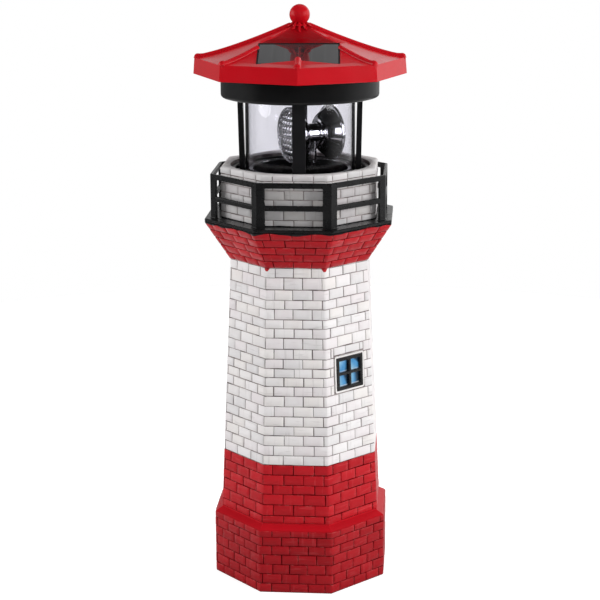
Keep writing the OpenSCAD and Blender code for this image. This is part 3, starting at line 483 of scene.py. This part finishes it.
looks = {
    "bricks": brickPaint(),
    "joints": jointPaint(),
    "windowBorder": mouldedPlastic("windowBorder", (0.82, 0.80, 0.79), (0.72, 0.70, 0.69), 0.45),
    "panes": paneGlass(),
    "railing": mouldedPlastic("railingBlack", (0.011, 0.011, 0.0115), (0.007, 0.007, 0.0075), 0.26,
                              240.0, 0.22),
    "ring": mouldedPlastic("ringBlack", (0.0075, 0.0075, 0.008), (0.005, 0.005, 0.0055), 0.30,
                           Specular_IOR_Level=0.35),
    "posts": mouldedPlastic("postBlack", (0.0095, 0.0095, 0.011), (0.007, 0.007, 0.008), 0.30),
    "deck": mouldedPlastic("deckBlack", (0.006, 0.006, 0.007), (0.004, 0.004, 0.005), 0.22, 200.0, 0.06,
                           Specular_IOR_Level=0.0),
    "cup": mouldedPlastic("cupBlack", (0.016, 0.016, 0.017), (0.011, 0.011, 0.012), 0.42, 500.0, 0.25),
    "base": mouldedPlastic("baseBlack", (0.020, 0.020, 0.021), (0.014, 0.014, 0.015), 0.55, 600.0, 0.3),
    "roof": mouldedPlastic("roofRed", (0.55, 0.003, 0.010), (0.51, 0.003, 0.009), 0.20, 90.0, 0.03),
    "roofShell": roofPaint({"red": (0.55, 0.003, 0.010), "deep": (0.51, 0.003, 0.009),
                            "shade": (0.20, 0.001, 0.003), "turn": 3.0, "head": 3.9, "foot": 17.0,
                            "widen": 1.55}),
    "rubber": mouldedPlastic("sealRubber", (0.016, 0.016, 0.016), (0.010, 0.010, 0.010), 0.62, 700.0, 0.3),
    "nylon": mouldedPlastic("gearNylon", (0.80, 0.79, 0.75), (0.74, 0.73, 0.68), 0.38, 400.0, 0.1,
                            Subsurface_Weight=0.05),
    "sleeve": mouldedPlastic("cellSleeve", (0.03, 0.20, 0.09), (0.025, 0.17, 0.08), 0.30, 260.0, 0.05),
    "board": mouldedPlastic("boardGreen", (0.012, 0.13, 0.055), (0.010, 0.10, 0.045), 0.32, 900.0, 0.2),
    "lamp": mouldedPlastic("lampResin", (0.92, 0.90, 0.72), (0.86, 0.84, 0.64), 0.15, 300.0, 0.04,
                           Subsurface_Weight=0.3),
    "chrome": brightMetal("bowlChrome", (0.90, 0.90, 0.92), (0.84, 0.84, 0.87), 0.035),
    "steel": brightMetal("zincSteel", (0.62, 0.62, 0.61), (0.50, 0.50, 0.49), 0.28, (1.0, 1.0, 0.15), 0.15),
    "brass": brightMetal("turnedBrass", (0.78, 0.58, 0.26), (0.68, 0.48, 0.20), 0.20, (1.0, 1.0, 0.15), 0.1),
    "tube": clearPlastic("tubeClear", (0.905, 0.90, 0.94), (0.885, 0.88, 0.925)),
    # the last colour is painted shade in the seams between the facets
    "lens": clearPlastic("lensClear", (0.99, 0.99, 1.0), (0.97, 0.97, 0.985), (0.10, 0.10, 0.11),
                         Coat_Weight=1.0, Coat_IOR=2.4, Coat_Roughness=0.06),
    "solar": solarFace({"cell": (0.026, 0.025, 0.027), "cellLight": (0.038, 0.037, 0.040),
                        "line": (0.10, 0.10, 0.105), "turn": 3.0, "pitch": 7.8, "flatter": 0.105}),
}
print("materials made:", len(looks))


# meshes

def gridQuads(rows, columns, first=0, around=False):
    # quads between neighbouring points of a grid; around joins the last column to the first
    row, column = np.meshgrid(np.arange(rows - 1), np.arange(columns - (0 if around else 1)), indexing="ij")
    nextColumn = (column + 1) % columns
    corners = [(row, column), (row, nextColumn), (row + 1, nextColumn), (row + 1, column)]
    return first + np.stack([r * columns + c for r, c in corners], -1).reshape(-1, 4)


def merged(mesh, flats=None):
    # doubles merged so that seams and poles close; edges between faces that meet at less than flats
    # degrees dissolved
    bm = bmesh.new()
    bm.from_mesh(mesh)
    bmesh.ops.remove_doubles(bm, verts=bm.verts, dist=2e-6)
    if flats:
        bmesh.ops.dissolve_limit(bm, angle_limit=math.radians(flats), verts=bm.verts, edges=bm.edges)
    bm.to_mesh(mesh)
    bm.free()


def addPiece(name, points, quads, look, body, slot, replaced=(), sharp=35, masks=None, merge=True):
    # a mesh piece from points in mm, with a value per point for each mask
    mesh = bpy.data.meshes.new(name)
    mesh.from_pydata((np.asarray(points).reshape(-1, 3) * mm).tolist(), [], quads.tolist())
    for label, values in (masks or {}).items():
        layer = mesh.attributes.new(label, "FLOAT", "POINT")
        layer.data.foreach_set("value", np.asarray(values, np.float32).ravel())
    if merge:
        merged(mesh)
    return place(name, mesh, look, body, slot, replaced, sharp)


def place(name, mesh, look, body, slot, replaced, sharp):
    # smooth but for edges over sharp degrees
    mesh.shade_smooth()
    mesh.set_sharp_from_angle(angle=math.radians(sharp))
    mesh.materials.clear()
    mesh.materials.append(looks[look])
    piece = bpy.data.objects.new(name, mesh)
    bpy.context.scene.collection.objects.link(piece)
    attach(piece, body)
    if replaced:
        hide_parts(*replaced)
    return piece


def softened(node, name, look, body, slot, width):
    # the node's own solid, with its moulded edges rounded by width mm
    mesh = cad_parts[node].data.copy()
    mesh.name = name
    merged(mesh, 0.8)
    sharp = 30
    piece = place(name, mesh, look, body, slot, (node,), sharp)
    if width:
        round_ = piece.modifiers.new("roundedEdges", "BEVEL")
        round_.width = width * mm
        round_.segments = 2
        round_.limit_method = "ANGLE"
        round_.angle_limit = math.radians(sharp)
    piece.modifiers.new("evenShading", "WEIGHTED_NORMAL").keep_sharp = True
    return piece


def dress(look, *nodes):
    for node in nodes:
        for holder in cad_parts[node].material_slots:
            holder.material = looks[look]


def turnedForm(profile, steps):
    # a profile of (radius, height) turned about Z: point = (r cos a, r sin a, h)
    a = np.linspace(0, 2 * np.pi, steps, endpoint=False)
    r, h = np.asarray(profile, float).T
    points = np.stack([np.outer(r, np.cos(a)), np.outer(r, np.sin(a)), np.outer(h, np.ones(steps))], -1)
    return points.reshape(-1, 3), gridQuads(len(r), steps, 0, True)


def roundedProfile(points, radii, steps=4):
    # a line of points whose inner corners are quadratic blends between two tangent points
    points = np.asarray(points, float)
    out = [points[:1]]
    for i in range(1, len(points) - 1):
        here = points[i]
        back, ahead = points[i - 1] - here, points[i + 1] - here
        reach = min(radii[i], 0.49 * np.linalg.norm(back), 0.49 * np.linalg.norm(ahead))
        a, b = here + back / np.linalg.norm(back) * reach, here + ahead / np.linalg.norm(ahead) * reach
        t = np.linspace(0, 1, steps + 1)[:, None] if reach > 0 else np.zeros((1, 1))
        out.append((1 - t) ** 2 * a + 2 * t * (1 - t) * here + t ** 2 * b)
    return np.concatenate(out + [points[-1:]])


def aboutZ(points, degrees):
    c, s = math.cos(math.radians(degrees)), math.sin(math.radians(degrees))
    return np.asarray(points) @ np.array([[c, s, 0], [-s, c, 0], [0, 0, 1]])


# tower's brick relief: each brick is a grid of points

tower = {
    # mm; apothem is half the width across flats
    "plinth": 53.75, "plinthTop": 41.6, "shaft": 49.5, "waist": 42.0, "waistZ": 205.8,
    "gallery": 57.1, "galleryZ": 230.4, "parapet": 47.0, "parapetTop": 263.4, "socket": 44.1,
    "cornerRound": 1.4, "joint": 0.60, "relief": 0.34, "reliefSpread": 0.10, "rootDepth": 0.12,
    "soften": 0.24,
    "plinthLines": [0.15, 6.0, 12.4, 18.8, 25.2, 31.2, 36.9, 41.1],
    "plinthRound": 32, "plinthPhase": (0.043, 0.171),
    "shaftLines": [44.6, 49.4, 56.4, 63.4, 69.3, 75.9, 82.35, 88.4, 94.8, 101.2, 107.0, 113.3, 119.7, 126.3,
                   132.3, 138.0, 143.6, 149.6, 155.9, 162.7, 168.6, 174.2, 180.7, 186.3, 192.7, 200.1, 205.9],
    "shaftRound": 25, "shaftPhase": (-0.016, 0.144),
    "flareLines": [205.9, 210.8, 215.7, 220.6, 225.5, 230.3],
    "flareRound": [25, 26, 28, 28, 30], "flarePhase": [0.14, 0.02, 0.23, 0.08, 0.20],
    "parapetLines": [232.5, 236.3, 242.4, 248.6, 254.15, 259.7],
    "parapetRound": 26, "parapetPhase": (0.17, 0.03),
    "window": (0.168, 0.832, 126.4, 150.9),
}


halfFace = math.tan(math.pi / 8)      # half a face's width over the apothem


def wallAt(z, t):
    # half width across flats and lean of the wall's normal at each height
    taper = (t["shaft"] - t["waist"]) / (t["waistZ"] - t["plinthTop"])
    flare = (t["gallery"] - t["waist"]) / (t["galleryZ"] - t["waistZ"])
    zones = [z < t["plinthTop"] + 0.5, z < t["waistZ"] + 0.05, z < t["galleryZ"] + 0.5]
    apothem = np.select(zones, [t["plinth"], t["shaft"] - (z - t["plinthTop"]) * taper,
                                t["waist"] + (z - t["waistZ"]) * flare], t["parapet"])
    lean = np.select(zones, [0, math.atan(taper), -math.atan(flare)], 0)
    return apothem, lean


def onWall(s, z, lift, t):
    # s counts round the eight faces; corners are arcs of cornerRound; lift stands off along the normal
    apothem, lean = wallAt(z, t)
    face = np.floor(s)
    across = (s - face - 0.5) * 2 * apothem * halfFace
    r = t["cornerRound"]
    tangent = r * halfFace
    flat = apothem * halfFace - tangent
    over = np.clip((np.abs(across) - flat) / tangent, 0, 1) * np.sign(across)
    normal = np.radians(45 * face - 90)
    turn = normal + over * math.pi / 8
    out = r + lift * np.cos(lean)
    held = np.clip(across, -flat, flat)
    x = np.cos(normal) * (apothem - r) - np.sin(normal) * held + out * np.cos(turn)
    y = np.sin(normal) * (apothem - r) + np.cos(normal) * held + out * np.sin(turn)
    return np.stack([x, y, z + lift * np.sin(lean)], -1)


def brickList(t):
    # every brick as (s0, s1, z0, z1): running bond in courses, cut back round the window
    bricks = []
    def course(z0, z1, count, phase):
        pitch = 8 / count
        starts = phase + pitch * np.arange(count) + rng.uniform(-0.012, 0.012, count)
        ends = np.append(starts[1:], starts[0] + 8)
        bricks.extend(zip(starts, ends, [z0] * count, [z1] * count))
    for i, (z0, z1) in enumerate(zip(t["plinthLines"], t["plinthLines"][1:])):
        course(z0, z1, t["plinthRound"], t["plinthPhase"][(i + 1) % 2])
    lines = t["shaftLines"]
    for i, (z0, z1) in enumerate(zip(lines, lines[1:])):
        course(z0, z1, t["shaftRound"], t["shaftPhase"][(len(lines) - i - 1) % 2])
    for z0, z1, count, phase in zip(t["flareLines"], t["flareLines"][1:], t["flareRound"], t["flarePhase"]):
        course(z0, z1, count, phase)
    for i, (z0, z1) in enumerate(zip(t["parapetLines"], t["parapetLines"][1:])):
        course(z0, z1, t["parapetRound"], t["parapetPhase"][i % 2])
    u0, u1, low, high = t["window"]
    kept = []
    for s0, s1, z0, z1 in bricks:
        first, last = 1 + u0, 1 + u1
        if z1 <= low or z0 >= high or s1 <= first or s0 >= last:
            kept.append((s0, s1, z0, z1))
            continue
        if s0 < first - 0.03:
            kept.append((s0, first, z0, z1))
        if s1 > last + 0.03:
            kept.append((last, s1, z0, z1))
        inside = (max(s0, first), min(s1, last))
        if z1 - high > 1.5:
            kept.append((*inside, high, z1))
        if low - z0 > 1.5:
            kept.append((*inside, z0, low))
    return np.array(kept)


# how far up the relief each column of a brick is
columnsUp = np.array([0, 0.5, 1, 1, 1, 1, 1, 0.5, 0])


def softGrid(s0, s1, z0, z1, t):
    # each brick's columns and rows of (s, z), and how far up the relief each point is
    n = len(s0)
    apothem, _ = wallAt((z0 + z1) / 2, t)
    unit = 1 / (2 * apothem * halfFace)     # of s, for 1 mm
    half = 0.5 * t["joint"]
    a, b = s0 + half * unit, s1 - half * unit
    low, high = z0 + half, z1 - half
    soft = t["soften"]
    corner = np.ceil(a)
    reach = (t["cornerRound"] * halfFace + 0.05) * unit
    room = (soft + 0.1) * unit + reach
    crossed = (corner > a + room) & (corner < b - room)
    thirds = a + (b - a) * np.array([0.25, 0.5, 0.75])[:, None]
    middle = np.where(crossed, np.stack([corner - reach, corner, corner + reach]), thirds)
    columns = np.stack([a, a, a + soft * unit, middle[0], middle[1], middle[2], b - soft * unit, b, b], 1)
    flank = 0.05
    columns[:, 0] -= flank * unit
    columns[:, -1] += flank * unit
    rows = np.stack([low - flank, low, low + soft, (low + high) / 2, high - soft, high, high + flank], 1)
    up = np.minimum(columnsUp, np.array([0, 0.5, 1, 1, 1, 0.5, 0])[:, None])
    return columns, rows, np.broadcast_to(up, (n, *up.shape))


def addBricks(name, points, up):
    # one grid per brick; the masks are a tone of its own and how far up the relief each point is
    n, rows, columns = up.shape
    quads = (gridQuads(rows, columns)[None] + (np.arange(n) * rows * columns)[:, None, None]).reshape(-1, 4)
    tone = np.broadcast_to(rng.uniform(0, 1, n)[:, None, None], up.shape)
    return addPiece(name, points, quads, "bricks", "tower", "painted_resin", (), 50,
                    {"tone": tone, "edge": up}, merge=False)


def makeBricks(t):
    s0, s1, z0, z1 = brickList(t).T
    s0, s1 = s0 + rng.uniform(-0.004, 0.004, len(s0)), s1 + rng.uniform(-0.004, 0.004, len(s1))
    z0, z1 = z0 + rng.uniform(-0.10, 0.10, len(z0)), z1 + rng.uniform(-0.10, 0.10, len(z0))
    columns, rows, up = softGrid(s0, s1, z0, z1, t)
    n = len(s0)
    top = t["relief"] + rng.uniform(-1, 1, n) * t["reliefSpread"]
    tilt = rng.uniform(-0.05, 0.05, (n, 2))
    s = np.broadcast_to(columns[:, None, :], up.shape)
    z = np.broadcast_to(rows[:, :, None], up.shape).copy()
    # bricks sit a little askew
    z += (s - s0[:, None, None]) * rng.uniform(-0.5, 0.5, n)[:, None, None] * (up > 0.2)
    across = np.linspace(-1, 1, up.shape[2])[None, None, :]
    along = np.linspace(-1, 1, up.shape[1])[None, :, None]
    lift = up * (top[:, None, None] + tilt[:, 0, None, None] * across + tilt[:, 1, None, None] * along)
    lift = np.where(up < 0.1, -t["rootDepth"], lift)
    return addBricks("towerBricks", onWall(s, np.clip(z, 0.05, None), lift, t), up)


def makeCoping(t):
    # the top course: up the wall, over its edge and in to the round socket
    n = t["parapetRound"]
    s0 = t["parapetPhase"][0] + 8 / n * np.arange(n) + rng.uniform(-0.01, 0.01, n)
    s1 = np.append(s0[1:], s0[0] + 8)
    z0 = np.full(n, t["parapetLines"][-1])
    columns, _, _ = softGrid(s0, s1, z0, z0 + 6, t)
    edge = t["parapetTop"]
    low = z0[0] + 0.5 * t["joint"]
    # rows: height on the wall, share of the way in to the socket, relief
    path = np.array([[low - 0.05, 0, 0], [low, 0, 0.5], [low + 0.3, 0, 1], [edge - 1.2, 0, 1],
                     [edge - 0.5, 0, 1], [edge, 0.12, 1], [edge, 0.5, 1], [edge, 0.90, 1],
                     [edge, 0.97, 0.5], [edge, 0.98, 0]])
    rise = np.array([0, 0, 0, 0, 0.12, 1, 1, 1, 1, 1])       # the share of relief that points up
    up = np.minimum(columnsUp, path[:, 2, None])
    up = np.broadcast_to(up, (n, *up.shape))
    s = np.broadcast_to(columns[:, None, :], up.shape)
    z = np.broadcast_to(path[None, :, None, 0], up.shape)
    top = t["relief"] + rng.uniform(-1, 1, n)[:, None, None] * t["reliefSpread"]
    lift = np.where(up < 0.1, -t["rootDepth"], up * top)
    share = rise[None, :, None]
    points = onWall(s, z, lift * (1 - share), t)
    inward = path[None, :, None, 1]
    length = np.hypot(points[..., 0], points[..., 1])
    socket = points[..., :2] / length[..., None] * t["socket"]
    points[..., :2] += (socket - points[..., :2]) * inward[..., None]
    points[..., 2] += lift * share
    return addBricks("parapetCoping", points, up)


makeBricks(tower)
makeCoping(tower)
dress("joints", "tower_shell")
print("brick relief made")


# window

window = {
    "wide": 21.6, "tall": 20.6, "z": 138.6, "border": 1.3, "rise": 0.85, "bar": 2.2, "cross": 1.8,
    "paneDepth": 0.35, "face": 45, "taper": 2.6155,
}


def onWindow(points, w):
    # from the window's plane, x across, y up and z out, to its place on the front-right face
    x, y, z = np.moveaxis(np.asarray(points, float), -1, 0)
    apothem = wallAt(np.array(w["z"]), tower)[0]
    lean = math.radians(w["taper"])
    out = z * math.cos(lean) - y * math.sin(lean)
    high = w["z"] + y * math.cos(lean) + z * math.sin(lean)
    return aboutZ(np.stack([x, -(apothem + out), high], -1), w["face"])


def makeWindowBorder(w):
    # a half-round bead carried round a rectangle with rounded corners
    a, b = w["wide"] / 2 + w["border"] / 2 + 0.05, w["tall"] / 2 + w["border"] / 2 + 0.05
    r, steps = 0.9, 5
    arc = np.linspace(0, np.pi / 2, steps)
    turns = (arc + np.arange(4)[:, None] * np.pi / 2).ravel()
    outward = np.stack([np.cos(turns), np.sin(turns)], -1)
    corners = np.repeat([(a - r, b - r), (r - a, b - r), (r - a, r - b), (a - r, r - b)], steps, 0)
    spots = corners + r * outward
    side = np.linspace(-1, 1, 7)
    wide = 0.5 * w["border"] + 0.1
    profile = np.stack([side * wide, w["rise"] * np.sqrt(np.clip(1 - 0.92 * side ** 4, 0, 1)) - 0.02], -1)
    profile[0, 1] = profile[-1, 1] = -0.3
    flat = spots - outward * profile[:, None, :1]
    points = np.concatenate([flat, np.broadcast_to(profile[:, None, 1:], flat.shape[:2] + (1,))], -1)
    quads = gridQuads(len(profile), len(spots), 0, True)
    return addPiece("windowBorder", onWindow(points, w), quads, "windowBorder", "tower", "painted_resin")


def makePanes(w):
    # four pillowed panes: z = depth of the pocket plus a low crown; masks carry the painted reflections
    under, steps = 0.5, 15            # how much of a pane the bars hide, and its grid
    wide, tall = [(w[side] - 2 * w["bar"] - w["cross"]) / 2 + under for side in ("wide", "tall")]
    u, v = np.meshgrid(np.linspace(-1, 1, steps), np.linspace(-1, 1, steps))
    crown = np.clip(1 - np.abs(u) ** 6, 0, 1) * np.clip(1 - np.abs(v) ** 6, 0, 1)
    points, shade, gleam, pale, quads = [], [], [], [], []
    def ramp(x, low, high):
        x = np.clip((x - low) / (high - low), 0, 1)
        return x * x * (3 - 2 * x)
    slopes = {  # place: shade direction (x, y), start, end of the dark part, pale direction
        (-1, 1): ((1.0, -0.1), 0.25, 0.95, (-0.7, 0.5)), (1, 1): ((0.7, 0.8), 0.45, 0.75, (-0.6, -0.6)),
        (-1, -1): ((0.9, 0.35), 0.15, 0.6, (-0.8, -0.2)), (1, -1): ((1.0, 0.1), -0.25, 0.55, (-0.9, 0.1)),
    }
    for i, ((sx, sy), (way, start, end, lit)) in enumerate(slopes.items()):
        x = sx * (wide - under + w["cross"]) / 2 + u * wide / 2
        y = sy * (tall - under + w["cross"]) / 2 + v * tall / 2
        points.append(np.stack([x, y, w["paneDepth"] * (crown - 1) - 0.25], -1).reshape(-1, 3))
        shade.append(ramp(way[0] * u + way[1] * v, start, end))
        pale.append(ramp(lit[0] * u + lit[1] * v, -0.2, 0.9))
        rim = np.maximum(ramp(-v, 0.74, 0.84), ramp(-u, 0.76, 0.86) * 0.7)
        rim = rim * (np.maximum(np.abs(u), np.abs(v)) < 0.93)
        gleam.append(rim * (0.75 if sy < 0 else 0.45))
        quads.append(gridQuads(steps, steps, i * steps * steps))
    masks = {"shade": np.stack(shade), "gleam": np.stack(gleam), "pale": np.stack(pale)}
    return addPiece("windowPanes", onWindow(np.concatenate(points), w), np.concatenate(quads), "panes",
                    "tower", "blue_panes", ("window_panes",), 60, masks, merge=False)


makeWindowBorder(window)
makePanes(window)
softened("window_frame", "windowFrame", "railing", "tower", "black_plastic", 0.5)
print("window made")

# gallery and base

softened("gallery_railing", "galleryRailing", "railing", "tower", "black_plastic", 0.55)
dress("base", "base_cover")
print("gallery made")

# lantern

softened("lantern_frame", "lanternFrame", "posts", "lantern", "black_plastic", 0.4)
softened("lens_tube", "lensTube", "tube", "lantern", "clear_plastic", 0.15)
softened("deck_plate", "deckPlate", "deck", "lantern", "black_plastic", 0.35)
dress("rubber", "tube_seal", "panel_gasket")
print("lantern made")

# roof

roof = {
    # mm
    "radius": 64.3, "brimTop": 328.0, "rise": 22.0, "sweep": 1.3,
    "ridgeWide": 4.2, "ridgeHigh": 2.0, "nubHigh": 0.6, "turn": 3.0,
    "frontRidge": 33.9, "nibStart": 47.6, "backRidge": 5.0,
    "ball": 6.25, "ballZ": 353.75, "seat": 347.16, "leaves": 12,
    "scoopHead": 3.9, "scoopWiden": 1.18,
    # mm out from the axis, and height
    "scoopLine": ((3.9, 347.16), (7.5, 344.3), (11.7, 340.9), (16.7, 338.3)),
}


def roofZ(r, p):
    return p["brimTop"] + p["rise"] * np.clip(1 - r / p["radius"], 0, None) ** p["sweep"]


def makeRidges(p):
    # a half ellipse carried down each hip line: its size fades to a round nose at both ends,
    # and swells to a small nub over the brim
    angles = [0, 45, 90, 135, 180, 225, 315, 270]
    starts = [p["backRidge"]] * 5 + [p["frontRidge"]] * 2 + [p["nibStart"]]
    t = np.concatenate([np.linspace(0, 0.08, 6), np.linspace(0.1, 0.94, 24), 1 - np.linspace(0.05, 0, 6)])
    side = np.linspace(0, np.pi, 11)
    points, quads = [], []
    for i, (angle, start) in enumerate(zip(angles, starts)):
        length = p["radius"] + 0.45 - start
        r = start + t * length
        near = np.minimum(r - start, start + length - r) / 1.5
        nose = np.sqrt(np.clip(1 - (1 - np.clip(near, 0, 1)) ** 2, 0, 1))
        nub = np.exp(-((r - p["radius"] + 1.8) / 1.7) ** 2) * p["nubHigh"]
        across = np.outer(nose * (p["ridgeWide"] / 2 + 0.25 * nub), np.cos(side))
        high = np.outer(nose * (p["ridgeHigh"] + nub), np.sin(side)) - 0.25
        ring = np.stack([np.broadcast_to(r[:, None], across.shape), across, roofZ(r, p)[:, None] + high], -1)
        points.append(aboutZ(ring, angle + p["turn"]).reshape(-1, 3))
        quads.append(gridQuads(len(t), len(side), i * len(t) * len(side)))
    return addPiece("roofRidges", np.concatenate(points), np.concatenate(quads), "roof", "lantern",
                    "red_plastic", (), 60)


def makeFinial(p):
    # a ball on a waisted neck, turned in one
    seat, r, z = p["seat"], p["ball"], p["ballZ"]
    a = np.linspace(-0.93, 1, 26) * np.pi / 2
    ball = np.stack([r * np.cos(a), z + r * np.sin(a)], -1)
    ball[-1, 0] = 0
    neck = [(0, -3.0), (2.4, -3.0), (2.4, 0), (5.6, 0), (5.4, 0.7), (4.2, 1.5), (2.9, 2.1), (2.3, 2.6)]
    neck = [(out, seat + up) for out, up in neck] + [tuple(ball[3])]
    neck = roundedProfile(neck, [0, 0.3, 0.1, 0.2, 0.8, 0.8, 0.8, 0.6, 0])
    return addPiece("finialBall", *turnedForm(np.concatenate([neck[:-1], ball[3:]]), 48), "roof", "lantern",
                    "red_plastic", ("finial",), 50)


def groundUnder(x, y, p):
    # height of the roof's surface, or of the scoop's where that is cut into it
    out = -y
    inScoop = (out > p["scoopHead"]) & (np.abs(x) < p["scoopHead"] + (out - p["scoopHead"]) * p["scoopWiden"])
    away, height = np.array(p["scoopLine"]).T
    return np.where(inScoop, np.interp(out, away, height), np.minimum(roofZ(np.hypot(x, y), p), p["seat"]))


def makeLeaves(p):
    # tapering curls that leave the neck, lie down on the roof and hook outward at the tip; the front ones
    # drape over the scoop
    t = np.linspace(0, 1, 18)
    share = np.interp(t, [0, 0.3, 0.62, 0.85, 1], [0, 0.34, 0.72, 0.95, 1])
    wide = np.interp(t, [0, 0.35, 0.7, 0.9, 1], [0.45, 0.62, 0.66, 0.55, 0.02])
    thick = np.interp(t, [0, 0.35, 0.7, 0.9, 1], [0.55, 0.65, 0.6, 0.5, 0.02])
    settled = np.interp(t, [0, 0.3, 0.62, 1], [0, 0.4, 0.9, 1])
    around = np.linspace(0, 2 * np.pi, 10, endpoint=False)
    points, quads = [], []
    for i in range(p["leaves"]):
        angle = math.radians(270 + i * 360 / p["leaves"])
        front = max(0.0, -math.sin(angle))
        hook = np.clip((t - 0.72) / 0.28, 0, 1) ** 2 * (1.1 if math.cos(angle) > -0.01 else -1.1)
        reach = 2.3 + share * (5.1 + 1.1 * front ** 2)
        x = reach * math.cos(angle) - hook * math.sin(angle)
        y = reach * math.sin(angle) + hook * math.cos(angle)
        down = groundUnder(x, y, p) + 0.4
        height = (1 - settled) * (p["seat"] + 2.9) + settled * down
        across = np.outer(wide, np.cos(around))
        high = np.outer(thick, np.sin(around))
        leaf = np.stack([x[:, None] - across * math.sin(angle), y[:, None] + across * math.cos(angle),
                         height[:, None] + high], -1)
        points.append(aboutZ(leaf, p["turn"]).reshape(-1, 3))
        quads.append(gridQuads(len(t), len(around), i * len(t) * len(around), True)[:, ::-1])
    return addPiece("finialLeaves", np.concatenate(points), np.concatenate(quads), "roof", "lantern",
                    "red_plastic", (), 60)


softened("roof_cap", "roofCap", "roofShell", "lantern", "red_plastic", 0.45)
makeRidges(roof)
makeFinial(roof)
makeLeaves(roof)
softened("ring_housing", "ringHousing", "ring", "lantern", "black_plastic", 0.0)
softened("solar_panel", "solarPanel", "solar", "lantern", "solar_glass", 0.25)
print("roof made")

# beacon

beacon = {
    # mm, from the reflectors' middle: x along their axis
    "off": 6.5, "z": 281.4, "turn": 28.0, "lanternTurn": 3.0,
    "mouth": 16.2, "mouthX": 13.6, "neck": 7.3, "neckHalf": 4.4, "collar": 3.0, "barrel": 5.0, "power": 0.50,
    "wall": 0.9, "rim": 0.9, "rimThick": 0.8, "insideFrom": 6.4, "steps": 72,
    "lensThick": 1.2, "lensCrown": 2.0, "facet": 3.6, "facetDeep": 0.8, "seamWide": 0.42, "lensRim": 2.2,
    "lensSteps": 168, "lensRings": 46,
}


def onBeacon(points, side, b):
    # from a form turned about Z to the reflector's axis; side 1 is the left one
    x, y, z = np.moveaxis(np.asarray(points, float), -1, 0)
    lying = np.stack([z, y, -x], -1)
    lying = aboutZ(lying, b["turn"] + (180 if side > 0 else 0))
    return aboutZ(lying + (b["off"], 0, b["z"]), b["lanternTurn"])


def makeReflector(name, node, side, b):
    # a collar, then the outside of the bowl: radius = neck + rise * share ** power; then over the rim and
    # back down inside
    x = b["neckHalf"] + (b["mouthX"] - b["rimThick"] - b["neckHalf"]) * np.linspace(0, 1, 30) ** 1.7
    def bowl(x):
        share = np.clip((x - b["neckHalf"]) / (b["mouthX"] - b["neckHalf"]), 0, 1)
        return b["neck"] + (b["mouth"] - b["neck"]) * share ** b["power"]
    outside = np.stack([bowl(x), x], -1)
    edge, low = b["mouth"] + b["rim"], b["mouthX"] - b["rimThick"]
    rim = roundedProfile([(b["mouth"], low), (edge, low), (edge, b["mouthX"]),
                          (b["mouth"] - b["wall"], b["mouthX"])], [0, 0.35, 0.3, 0], 3)
    hole = b["barrel"] + 0.1
    inside = x[::-1][:-1]
    inside = np.stack([np.maximum(bowl(inside) - b["wall"], hole), np.maximum(inside, b["insideFrom"])], -1)
    collar = roundedProfile([(hole, b["collar"]), (b["neck"], b["collar"]), (b["neck"], b["neckHalf"])],
                            [0, 0.4, 0], 3)
    profile = np.concatenate([collar[:-1], outside, rim[1:], inside, [(hole, b["insideFrom"])]])
    points, quads = turnedForm(profile, b["steps"])
    return addPiece(name, onBeacon(points, side, b), quads, "chrome", "beacon", "chrome", (node,), 40)


def makeLens(name, node, side, b):
    # a plain rim and a crowned middle cut into square pillows:
    # height = crown - depth * (1 - sqrt(|cos| |cos|)); the seam mask is 1 where pillows meet, for painted
    # shade in the creases
    edge = b["mouth"] + b["rim"]
    cut = edge - b["lensRim"]
    r = np.concatenate([np.linspace(0, cut, b["lensRings"]), np.linspace(cut + 0.3, edge - 0.25, 6), [edge]])
    a = np.linspace(0, 2 * np.pi, b["lensSteps"], endpoint=False)
    rr, aa = np.meshgrid(r, a, indexing="ij")
    x, y = rr * np.cos(aa), rr * np.sin(aa)
    crown = b["lensThick"] + b["lensCrown"] * (1 - (rr / edge) ** 2)
    pillow = np.abs(np.cos(np.pi * x / b["facet"])) * np.abs(np.cos(np.pi * y / b["facet"]))
    inner = np.clip((cut - rr) / 0.4, 0, 1)
    seamShade = np.clip(1 - pillow / b["seamWide"], 0, 1) * inner
    face = np.stack([x, y, b["mouthX"] + crown - b["facetDeep"] * (1 - np.sqrt(pillow)) * inner], -1)
    face[-1, :, 2] -= 0.25
    back = np.stack([x, y, np.full_like(x, b["mouthX"])], -1)[[-1, 0]]
    quads = gridQuads(len(r) + 2, len(a), 0, True)[:, ::-1]
    seamShade = np.concatenate([seamShade, np.zeros_like(seamShade[:2])])
    return addPiece(name, onBeacon(np.concatenate([face, back]), side, b), quads, "lens", "beacon",
                    "clear_plastic", (node,), 30, {"seamShade": seamShade})


makeReflector("reflectorLeft", "reflector_left", 1, beacon)
makeReflector("reflectorRight", "reflector_right", -1, beacon)
makeLens("lensLeft", "lens_left", 1, beacon)
makeLens("lensRight", "lens_right", -1, beacon)
softened("beacon_hub", "beaconHub", "chrome", "beacon", "chrome", 0.3)
print("beacon made")

# hidden works

dress("cup", "lower_housing", "battery_door", "switch_slider")
dress("nylon", "gear_plate", "idler_gear", "beacon_gear", "led_stem")
dress("steel", "roof_screws", "frame_screws", "door_screw", "motor", "idler_pin", "battery_contacts",
      "switch_case")
dress("brass", "motor_pinion")
dress("lamp", "led_lamp")
dress("sleeve", "battery_cell")
dress("board", "control_board")
print("works dressed")
